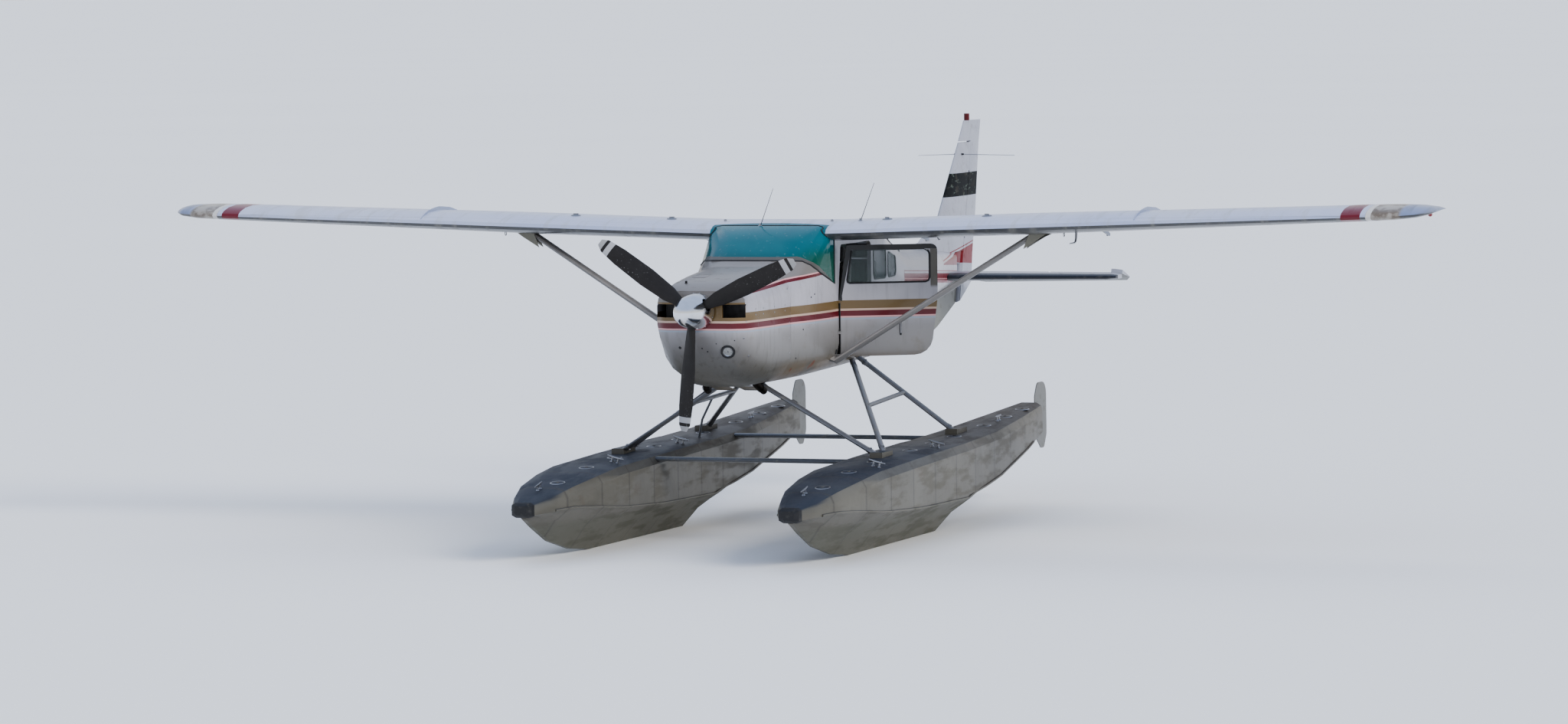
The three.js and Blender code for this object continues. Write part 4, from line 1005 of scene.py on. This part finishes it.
def build_wing_fittings(name, side):
    kit = Piece(f"wing_fittings_{name}", bright_hardware, wing_white, rubber,
        red_lens if side > 0 else green_lens)
    for out in (1.08, 2.06):
        place = onto(*wing_top(name, side, out, 2.22))
        kit.turn([(0, 0.016), (0.022, 0.016), (0.026, 0.012), (0.042, 0.01), (0.048, 0.004),
            (0.05, -0.004)], place, 24)
        kit.add(slab((0.052, 0.01, 0.01), place @ move((0, 0, 0.02)), 0.003))
    # Stall fence, a thin plate along the chord
    points = [wing_top(name, side, 3.56, 1.965 + k * 0.088)[0] for k in range(12)]
    start = points[0]
    low = [(point.y - start.y, point.z - start.z - 0.006) for point in points]
    high = [(y, z + 0.01 + 0.03 * math.sin(math.pi * (k + 0.5) / 12)) for k, (y, z) in enumerate(low)]
    kit.add(plate(low + high[::-1], 0.004, move(start) @ UPRIGHT), 1)
    # Tie-down ring at the strut and inspection covers below
    kit.add(hanging_ring(wing_top(name, side, 2.8, 2.25, below=True)[0], 0.018, 0.016, 0.004))
    for out in (1.3, 1.9, 3.2, 3.9, 4.6, 5.3):
        place = onto(*wing_top(name, side, out, 2.65, below=True))
        kit.turn([(0, 0.0018), (0.06, 0.0018), (0.064, 0.0008), (0.065, -0.001)], place, 28, 1)
    # Navigation light on the tip
    place = spot(f"wing_tip_{name}", at(side * 7, 2.42, 0.79), (-side, 0, 0)) @ move((0, 0, -0.004))
    kit.turn([(0, 0.028), (0.01, 0.026), (0.019, 0.016), (0.022, 0.0), (0.024, -0.002)], place, 18, 3)
    kit.turn([(0.022, 0.002), (0.027, 0.002), (0.029, -0.006)], place, 18)
    kit.done()


def build_pitot():
    point, _ = wing_top("port", 1, 2.95, 2.12, below=True)
    pitot = Piece("pitot_tube", bright_hardware)
    path = [point + Vector(step) for step in ((0, 0.03, 0.01), (0, 0.02, -0.05), (0, 0, -0.085),
        (0, -0.04, -0.095), (0, -0.17, -0.095))]
    pitot.add(tube(path, [0.012, 0.01, 0.009, 0.008, 0.006], 10))
    pitot.done()


def build_antennas():
    whips = Piece("roof_antennas", rubber, bright_hardware, slot="black_plastic")
    for node, out, aft, lean in (("cabin_roof", -0.104, 1.99, 0.128), ("wing_port", 0.827, 2.18, 0.134)):
        place = spot(node, at(out, aft, 2), DOWN)
        path = [place.translation + Vector((lean * t, 0.02 * t, 0.364 * t - 0.01))
            for t in (0, 0.3, 0.65, 1)]
        whips.add(tube(path, [0.004, 0.0032, 0.0026, 0.002], 8))
        whips.turn([(0, 0.026), (0.006, 0.025), (0.01, 0.01), (0.022, 0.004), (0.024, -0.003)],
            place, 16, 1)
    for out in (-0.53, 0.54):
        place = spot("cabin_roof", at(out, 2.2, 2), DOWN)
        whips.turn([(0, 0.02), (0.01, 0.018), (0.014, 0.008), (0.016, -0.003)], place, 14, 1)
    whips.done()
    whisker = Piece("fin_whisker_antenna", bright_hardware, rubber)
    root, _ = surface("fin", at(1, 7.56, 1.19), (-1, 0, 0))
    for _, side in SIDES:
        start = Vector((side * abs(root.x) * 0.7, root.y, root.z))
        path = [start + Vector((side * 0.5 * t, 0.25 * t, -0.02 * t)) for t in (0, 0.33, 0.66, 1)]
        whisker.add(tube(path, [0.0045, 0.0035, 0.003, 0.0025], 8))
        whisker.add(tube([start, start + Vector((side * 0.03, 0.015, 0))], 0.009, 10), 1)
    whisker.done()


# Struts: fairings at their ends and the small braces between them

STRUT_ENDS = {
    "front_strut": ((0.11, 1.165, -0.69), (1.28, 1.325, -1.4), 0.05, 0.021),
    "diagonal_strut": ((0.48, 2.845, -0.58), (1.28, 1.485, -1.4), 0.04, 0.018),
    "rear_strut": ((0.48, 2.985, -0.58), (1.28, 3.57, -1.35), 0.05, 0.021),
}


def strut_point(strut, side, share):
    top, foot = (at(side * p[0], p[1], p[2]) for p in STRUT_ENDS[strut][:2])
    return top.lerp(foot, share)


WING_STRUT = ((0.595, 2.11, -0.574), (2.635, 2.25, 0.66))
STRUT_ACROSS = Matrix(((1, 0, 0, 0), (0, 0, -1, 0), (0, 1, 0, 0), (0, 0, 0, 1)))


def build_strut_cuffs(name, side):
    """The fairing where the wing strut meets the wing, and the cap at its foot."""
    cuffs = Piece(f"strut_cuffs_{name}", cuff_dark, strut_grey)
    foot, head = (Vector(end) for end in WING_STRUT)
    under = [wing_top(name, side, out, 2.23, below=True)[0] for out in (2.5, 2.57, 2.64, 2.7, 2.76, 2.8)]
    start = at(side * 2.4, 2.23, 0)
    line = [(side * (point.x - start.x), point.z - start.z + 0.006) for point in under]
    run = head - foot
    low = []
    for out in (2.74, 2.66, 2.58, 2.52, 2.46):
        share = (out - foot.x) / run.x
        low.append((out - 2.4, foot.z + run.z * share - 0.04 + max(0.0, out - 2.6) * 0.1))
    shape = [(side * x, z) for x, z in line + low]
    cuffs.add(plate(shape, 0.1, move(start) @ STRUT_ACROSS, 0.018))
    place = Vector(at(side * foot.x, foot.y, foot.z))
    along = Vector((side * run.x, run.y, run.z)).normalized()
    cap = [place + along * t for t in (-0.01, 0.05, 0.13)]
    cuffs.add(tube(cap, [0.031, 0.034, 0.033], 16, squash=1.0), 1)
    cuffs.done()


def build_strut_fittings(name, side):
    kit = Piece(f"strut_fittings_{name}", float_strut_shaded, bright_hardware)
    build_strut_cuffs(name, side)
    brace = [strut_point("diagonal_strut", side, 0.511), strut_point("rear_strut", side, 0.48)]
    kit.add(tube(brace, 0.021, 12))
    for strut, (_, _, long, thin) in STRUT_ENDS.items():
        for share in (0.085, 0.93):
            a, b = strut_point(strut, side, share - 0.012), strut_point(strut, side, share + 0.012)
            run = (b - a).normalized()
            across = run.cross(Vector((0, 1, 0))).normalized()
            deep = across.cross(run)
            turn = Matrix((deep, across, run)).transposed().to_4x4()
            place = move(a.lerp(b, 0.5)) @ turn @ Matrix.Diagonal((long + 0.004, thin + 0.003, 1, 1))
            kit.turn([(0.9, -0.024), (1.0, -0.018), (1.0, 0.018), (0.9, 0.024)], place, 20)
            bolt = move(a.lerp(b, 0.5)) @ turn @ Matrix.Rotation(math.pi / 2, 4, "X")
            for end in (-1, 1):
                head = bolt @ move((0, 0, end * (thin + 0.003))) @ Matrix.Diagonal((1, 1, end, 1))
                kit.turn([(0, 0.008), (0.009, 0.008), (0.01, 0.006), (0.01, 0.0)], head, 6, 1)
    kit.done()


# Floats: hatch covers, cleats, chine strips and steps

def deck_place(name, side, out, aft, spin=0.0):
    return spot(f"float_{name}", at(side * 1.28 + out, aft, 0), DOWN, spin)


def cleat(place):
    part = tube([Vector((x, 0, z)) for x, z in ((-0.085, 0.05), (-0.05, 0.046), (0, 0.044), (0.05, 0.046),
        (0.085, 0.05))], [0.005, 0.009, 0.011, 0.009, 0.005], 10)
    part.transform(place)
    return part


def build_float_fittings(name, side):
    kit = Piece(f"float_fittings_{name}", float_grey, bright_hardware, rubber, slot="float_alloy")
    # Hatch covers, two of them black
    for aft in (-0.45, 0.25, 0.95, 1.95, 2.6, 3.25, 4.15, 4.8, 5.35):
        place = deck_place(name, side, 0.09, aft)
        kit.turn([(0, 0.01), (0.012, 0.01), (0.016, 0.004), (0.05, 0.005), (0.06, 0.002),
            (0.062, -0.002)], place, 24, 2 if aft in (0.95, 3.25) else 0)
        kit.turn([(0.06, 0.003), (0.07, 0.003), (0.073, -0.002)], place, 24, 1)
    for aft, out in ((-0.675, 0), (0.62, 0.22), (2.3, 0.22), (4.5, 0.12)):
        place = deck_place(name, side, out, aft, math.pi / 2)
        kit.add(cleat(place), 1)
        for x in (-0.03, 0.03):
            kit.turn([(0.008, 0.044), (0.008, 0.012), (0.018, 0.003), (0.018, -0.003)],
                place @ move((x, 0, 0)), 10, 1)
    # Rub strips along the chines
    for edge in (1, -1):
        path = []
        for k in range(23):
            aft = -0.8 + k * 0.28
            point, _ = surface(f"float_{name}", at(side * 1.28 + edge * 0.8, aft, chine_up(aft) + 0.012),
                (-edge, 0, 0))
            if point:
                path.append(point + Vector((edge * 0.002, 0, 0)))
        kit.add(tube(path, 0.014, 8, squash=0.8))
    kit.done()


FLOAT_CHINE = ((-1.05, -1.785), (-0.85, -1.775), (-0.5, -1.768), (0, -1.805), (0.45, -1.85), (1.5, -1.9),
    (2.85, -1.92), (3.9, -1.8), (5.0, -1.64), (5.85, -1.51))


def chine_up(aft):
    for (a, up_a), (b, up_b) in zip(FLOAT_CHINE, FLOAT_CHINE[1:]):
        if aft <= b:
            return up_a + (up_b - up_a) * (aft - a) / (b - a)
    return FLOAT_CHINE[-1][1]


def build_step(name, side):
    """A boarding step between the float deck and the small brace."""
    step = Piece(f"boarding_step_{name}", bar_dark, rubber)
    brace = strut_point("diagonal_strut", side, 0.511).lerp(strut_point("rear_strut", side, 0.48), 0.5)
    foot = deck_place(name, side, -side * 0.2, 2.86).translation
    mid = brace.lerp(foot, 0.55) + Vector((side * 0.03, 0, 0))
    step.add(tube([brace, brace.lerp(mid, 0.5), mid, mid.lerp(foot, 0.5), foot], 0.011, 10))
    step.turn([(0, 0.006), (0.024, 0.005), (0.028, -0.002)], onto(foot, (0, 0, 1)), 14)
    step.done()


# Door furniture

def door_place(out, aft, up):
    """A place on the shut pilot's door, taken to where it is with the door open."""
    return move(swung(at(out, aft, up), -DOOR_OPEN)) @ Matrix.Rotation(-DOOR_OPEN, 4, "Z")


def build_door_fittings():
    kit = Piece("door_fittings", bright_hardware, rubber, lining, body="pilot_door")
    handle = door_place(0.6, 2.77, -0.285)
    kit.add(slab((0.006, 0.018, 0.136), handle, 0.0025), 1)
    kit.add(slab((0.014, 0.01, 0.1), handle @ move((0.008, 0, 0)), 0.004))
    kit.add(slab((0.045, 0.42, 0.05), door_place(0.552, 2.62, -0.02), 0.014), 1)
    kit.add(slab((0.012, 0.03, 0.09), door_place(0.55, 2.95, -0.14), 0.004))
    kit.add(slab((0.014, 0.62, 0.2), door_place(0.552, 2.66, -0.36), 0.006), 2)
    kit.done()
    catch = Piece("door_catch", bright_hardware)
    point, _ = surface("wing_port", at(1.44, 2.62, -0.5), LIFT)
    path = [point + Vector(step) for step in ((0, 0, 0.01), (0, 0, -0.02), (0.012, 0, -0.038),
        (0.024, 0, -0.03))]
    catch.add(tube(path, 0.006, 10))
    catch.turn([(0.006, 0.006), (0.02, 0.003), (0.022, -0.002)], onto(point, DOWN), 14)
    catch.done()
    handles = Piece("cargo_door_handle", bright_hardware, body="cargo_door_front")
    place = spot("cargo_door_front", at(-1.5, 3.44, -0.1), (1, 0, 0), math.pi / 2)
    handles.add(slab((0.14, 0.032, 0.012), place, 0.005))
    handles.done()


def build_stern_post():
    """Closes the hull between the tail cone and the rudder's nose, over the elevator's tube."""
    post = Piece("stern_post", fin_white, slot="white_paint")
    outline = [(7.25, 0.078), (7.474, 0.078), (7.532, 0.262), (7.25, 0.23)]
    post.add(plate(outline, 0.066, move(at(0, 0, 0)) @ UPRIGHT, 0.012))
    post.done()


def build_fuselage_fittings():
    kit = Piece("fuselage_fittings", bright_hardware, rubber, hull_white)
    for side, aft, up in ((1, 1.53, 0.05), (1, 1.6, 0.075), (1, 1.36, -0.24), (1, 1.245, -0.5),
            (-1, 1.53, 0.05)):
        place = spot("fuselage_shell", at(side * 1.5, aft, up), (-side, 0, 0))
        kit.turn([(0, 0.002), (0.007, 0.002), (0.009, -0.001)], place, 12, 1)
    # Slot of the door's stay at the foot of the front post
    stay = spot("fuselage_shell", at(1.5, 2.142, -0.494), (-1, 0, 0))
    kit.add(slab((0.034, 0.045, 0.014), stay, 0.005), 1)
    for aft in (5.0, 5.4):
        place = spot("fuselage_shell", at(1.5, aft, 0.0), (-1, 0, 0))
        kit.turn([(0, 0.0025), (0.016, 0.002), (0.02, -0.001)], place, 14)
    beacon = spot("fuselage_shell", at(0, 5.2, 2), DOWN)
    kit.turn([(0, 0.05), (0.006, 0.05), (0.012, 0.03), (0.02, 0.006), (0.03, -0.003)], beacon, 14, 1)
    tail, _ = surface("fuselage_shell", at(0, 6.95, -2), LIFT)
    kit.add(hanging_ring(tail, 0.022, 0.018, 0.005))
    kit.done()


# Seats: pads blown up by cloth pressure, on tube frames

PAD_VOXEL = 0.006
PAD_FRAMES = 20
PAD_SWELL = 0.014
PAD_PRESSURE = 4
PAD_SEAM = 0.35
CHANNEL_DEPTH = 0.007
CHANNEL_WIDTH = 0.009
CHANNEL_REACH = 0.44
CUSHION = (0.405, 0.475, 0.125)
SEAT_BACK = (0.405, 0.53, 0.08)
HEADREST = (0.25, 0.14, 0.07)
SEATS = (("front_port", 0.27, 2.62), ("front_starboard", -0.27, 2.62), ("middle_port", 0.265, 3.37),
    ("middle_starboard", -0.265, 3.37))
BACK_LEAN = math.radians(10.4)
CHANNELS = (-0.25, -0.125, 0, 0.125, 0.25)
SEAT_RAIL = ((-0.2, -0.545), (-0.19, -0.3), (0.19, -0.3), (0.2, -0.545))
HEADREST_POST = ((0.3, 0.22), (0.322, 0.36))
SEAT_UPRIGHT = ((0.19, -0.3), (0.235, -0.22), (0.335, 0.27))
STANDS_FOR = {"front_port": ["front_seat_port"], "front_starboard": ["front_seat_starboard"],
    "middle_port": ["middle_seats"]}


def puffed(size, edge, channels):
    """A pad of a size, lying at the origin with its sewn side up."""
    bm = slab(size, Matrix.Identity(4), edge, 3)
    pad = added("pad", mesh_of(bm, "pad"))
    remesh = pad.modifiers.new("remesh", "REMESH")
    remesh.mode = "VOXEL"
    remesh.voxel_size = PAD_VOXEL
    pad.data = applied(pad)
    pad.modifiers.clear()
    flat = [vertex.co.copy() for vertex in pad.data.vertices]
    cloth = pad.modifiers.new("cloth", "CLOTH")
    cloth.settings.use_pressure = True
    cloth.settings.uniform_pressure_force = PAD_PRESSURE
    cloth.settings.effector_weights.gravity = 0
    for number in range(1, PAD_FRAMES + 1):
        bpy.context.scene.frame_set(number)
    swollen = applied(pad)
    for vertex, start in zip(swollen.vertices, flat):
        shift = vertex.co - start
        shift.length = min(shift.length, PAD_SWELL)
        x, y = start.x / size[0], start.y / size[1]
        middle = max(0.0, 1 - (2 * x) ** 4) * max(0.0, 1 - (2 * y) ** 4)
        vertex.co = start + shift * (PAD_SEAM + (1 - PAD_SEAM) * middle)
        if start.z > 0 and max(abs(x), abs(y)) < CHANNEL_REACH:
            line = min(abs(x - mark) for mark in channels) * size[0]
            vertex.co.z -= CHANNEL_DEPTH * math.exp(-(line / CHANNEL_WIDTH) ** 2)
    bpy.context.scene.frame_set(1)
    bpy.data.objects.remove(pad)
    return swollen


def applied(piece):
    """The piece's mesh with its modifiers applied."""
    return bpy.data.meshes.new_from_object(piece.evaluated_get(bpy.context.evaluated_depsgraph_get()))


def lay_pad(name, mesh, place, replaces=()):
    pad = Piece(name, cushion_cloth, slot="seat_cloth")
    pad.bm.from_mesh(mesh)
    pad.bm.transform(place)
    made = pad.done(80, replaces)


def welt(size, place, rise):
    """Piping round the sewn edge of a pad."""
    half_wide, half_long, round_off = size[0] / 2 - 0.004, size[1] / 2 - 0.004, 0.035
    path = []
    for corner, (sx, sy) in enumerate(((1, 1), (-1, 1), (-1, -1), (1, -1))):
        for k in range(6):
            angle = (corner + k / 5) * math.pi / 2
            path.append(place @ Vector((sx * (half_wide - round_off) + round_off * math.cos(angle),
                sy * (half_long - round_off) + round_off * math.sin(angle), rise)))
    return tube(path, 0.0045, 8, closed=True)


def seat_places(out, aft):
    """Where a seat's cushion, back and headrest lie."""
    cushion = move(at(out, aft, -0.225)) @ Matrix.Rotation(math.radians(-2), 4, "X")
    lean = Matrix.Rotation(math.pi / 2 - BACK_LEAN, 4, "X")
    back = move(at(out, aft + 0.25, 0.035)) @ lean
    head = move(at(out, aft + 0.32, 0.385)) @ lean
    return cushion, back, head


def build_seats():
    cushion = puffed(CUSHION, 0.03, CHANNELS)
    back = puffed(SEAT_BACK, 0.026, CHANNELS)
    head = puffed(HEADREST, 0.026, (0,))
    frames = Piece("seat_frames", bar_dark, bright_hardware)
    piping = Piece("seat_piping", piping_cloth, slot="seat_cloth")
    for name, out, aft in SEATS:
        places = seat_places(out, aft)
        lay_pad(f"seat_cushion_{name}", cushion, places[0], STANDS_FOR.get(name, ()))
        lay_pad(f"seat_back_{name}", back, places[1])
        lay_pad(f"headrest_{name}", head, places[2])
        piping.add(welt(CUSHION, places[0], CUSHION[2] / 2 - 0.008))
        piping.add(welt(SEAT_BACK, places[1], SEAT_BACK[2] / 2 - 0.006))
        for side in (-0.16, 0.16):
            rail = [at(out + side, aft + back, up) for back, up in SEAT_RAIL]
            frames.add(tube(rail, 0.012, 10))
            frames.add(slab((0.035, 0.52, 0.012), move(at(out + side, aft, -0.553)), 0.003), 1)
            post = [at(out + side * 0.5, aft + back, up) for back, up in HEADREST_POST]
            frames.add(tube(post, 0.006, 8), 1)
            upright = [at(out + side * 1.1, aft + back, up) for back, up in SEAT_UPRIGHT]
            frames.add(tube(upright, 0.01, 10))
        frames.add(slab((0.36, 0.42, 0.01), move(at(out, aft, -0.294)), 0.003))
    frames.done()
    piping.done()


# Instruments: dials, radios and knobs on the panel

PANEL_FACE_AFT = 1.451
DIAL_ROWS = ((0.185, 4, 0.16, 0.1, 0.04), (0.085, 4, 0.16, 0.1, 0.04), (-0.01, 2, 0.2, 0.16, 0.03))


def build_instruments():
    dials = Piece("instrument_dials", panel_black, dial_face, bright_hardware, radio_grey,
        slot="black_plastic")
    for row, (up, count, first, pitch, radius) in enumerate(DIAL_ROWS):
        for column in range(count):
            place = onto(at(first + column * pitch, PANEL_FACE_AFT, up), (0, 1, 0))
            dials.turn([(radius, 0.0), (radius, 0.006), (radius * 0.86, 0.006), (radius * 0.82, 0.001)],
                place, 24)
            dials.turn([(0, 0.002), (radius * 0.84, 0.002), (radius * 0.84, 0.0)], place, 24, 1)
            needle = place @ Matrix.Rotation(0.7 + column * 1.3 + row, 4, "Z")
            dials.add(slab((0.003, radius * 0.7, 0.002), needle @ move((0, radius * 0.25, 0.003))), 2)
    for k in range(5):
        dials.add(slab((0.165, 0.016, 0.04), move(at(-0.03, 1.455, 0.215 - k * 0.046)), 0.003), 3)
        for end in (-0.065, 0.065):
            dials.turn([(0, 0.012), (0.008, 0.012), (0.01, 0.0)],
                onto(at(-0.03 + end, 1.463, 0.215 - k * 0.046), (0, 1, 0)), 12, 2)
    for k in range(9):
        dials.turn([(0, 0.014), (0.006, 0.014), (0.007, 0.0)], onto(at(0.5 - k * 0.045, 1.451, -0.045),
            (0, 1, 0)), 10, 2)
    for k, tint in enumerate((0, 3, 2)):
        knob = at(-0.02 - k * 0.05, 1.5, -0.03)
        dials.add(tube([at(-0.02 - k * 0.05, 1.45, -0.03), knob], 0.005, 8), 2)
        dials.turn([(0, 0.018), (0.014, 0.016), (0.016, 0.006), (0.01, -0.004)], onto(knob, (0, 1, 0)),
            14, tint)
    dials.done()


build_seats()
build_instruments()
build_seals()
build_landing_light()
build_cowl_fittings()
build_exhausts()
build_propeller_fittings()
build_pitot()
build_stern_post()
build_antennas()
build_door_fittings()
build_fuselage_fittings()
build_step("starboard", -1)
for name, side in SIDES:
    build_wing_fittings(name, side)
    build_strut_fittings(name, side)
    build_float_fittings(name, side)


# Floor and light

FLOOR_RADIUS = 5000
SKY_LOW = (0.84, 0.83, 0.8, 1)
SKY_HIGH = (0.5, 0.6, 0.82, 1)
SKY_BLEND = 0.55


def floor_finish():
    finish = Finish("studio_floor")
    soft = finish.mottle(0.05, 2)
    finish.base(soft, (0.86, 0.855, 0.84), (0.89, 0.885, 0.875))
    return finish.done(0.9)


def build_floor():
    bm = bmesh.new()
    bmesh.ops.create_circle(bm, cap_ends=True, segments=96, radius=FLOOR_RADIUS)
    added("studio_floor", mesh_of(bm, "studio_floor", [floor_finish()]))


def sun(name, place, strength, spread, tint):
    lamp = bpy.data.lights.new(name, "SUN")
    lamp.energy = strength
    lamp.angle = math.radians(spread)
    lamp.color = tint
    light = added(name, lamp)
    light.rotation_euler = Vector(place).to_track_quat("Z", "Y").to_euler()
    light.visible_glossy = False


def build_light():
    """A soft key from ahead to port, a weaker one from behind and a pale surround, bluer overhead."""
    world = bpy.data.worlds.new("studio")
    world.use_nodes = True
    tree = world.node_tree
    background = tree.nodes["Background"]
    direction = tree.nodes.new("ShaderNodeTexCoord")
    height = tree.nodes.new("ShaderNodeSeparateXYZ")
    blend = tree.nodes.new("ShaderNodeMapRange")
    tint = tree.nodes.new("ShaderNodeMix")
    tint.data_type = "RGBA"
    blend.inputs["From Max"].default_value = SKY_BLEND
    tint.inputs[6].default_value = SKY_LOW
    tint.inputs[7].default_value = SKY_HIGH
    tree.links.new(direction.outputs["Generated"], height.inputs[0])
    tree.links.new(height.outputs[2], blend.inputs["Value"])
    tree.links.new(blend.outputs[0], tint.inputs[0])
    tree.links.new(tint.outputs[2], background.inputs["Color"])
    background.inputs["Strength"].default_value = 1.0
    bpy.context.scene.world = world
    bpy.context.scene.view_settings.look = "AgX - Medium High Contrast"
    sun("key_light", (0.95, -0.42, 0.62), 2.2, 28, (1.0, 0.97, 0.93))
    sun("back_light", (-0.4, 0.85, 0.75), 0.9, 35, (0.97, 0.98, 1.0))


build_floor()
build_light()
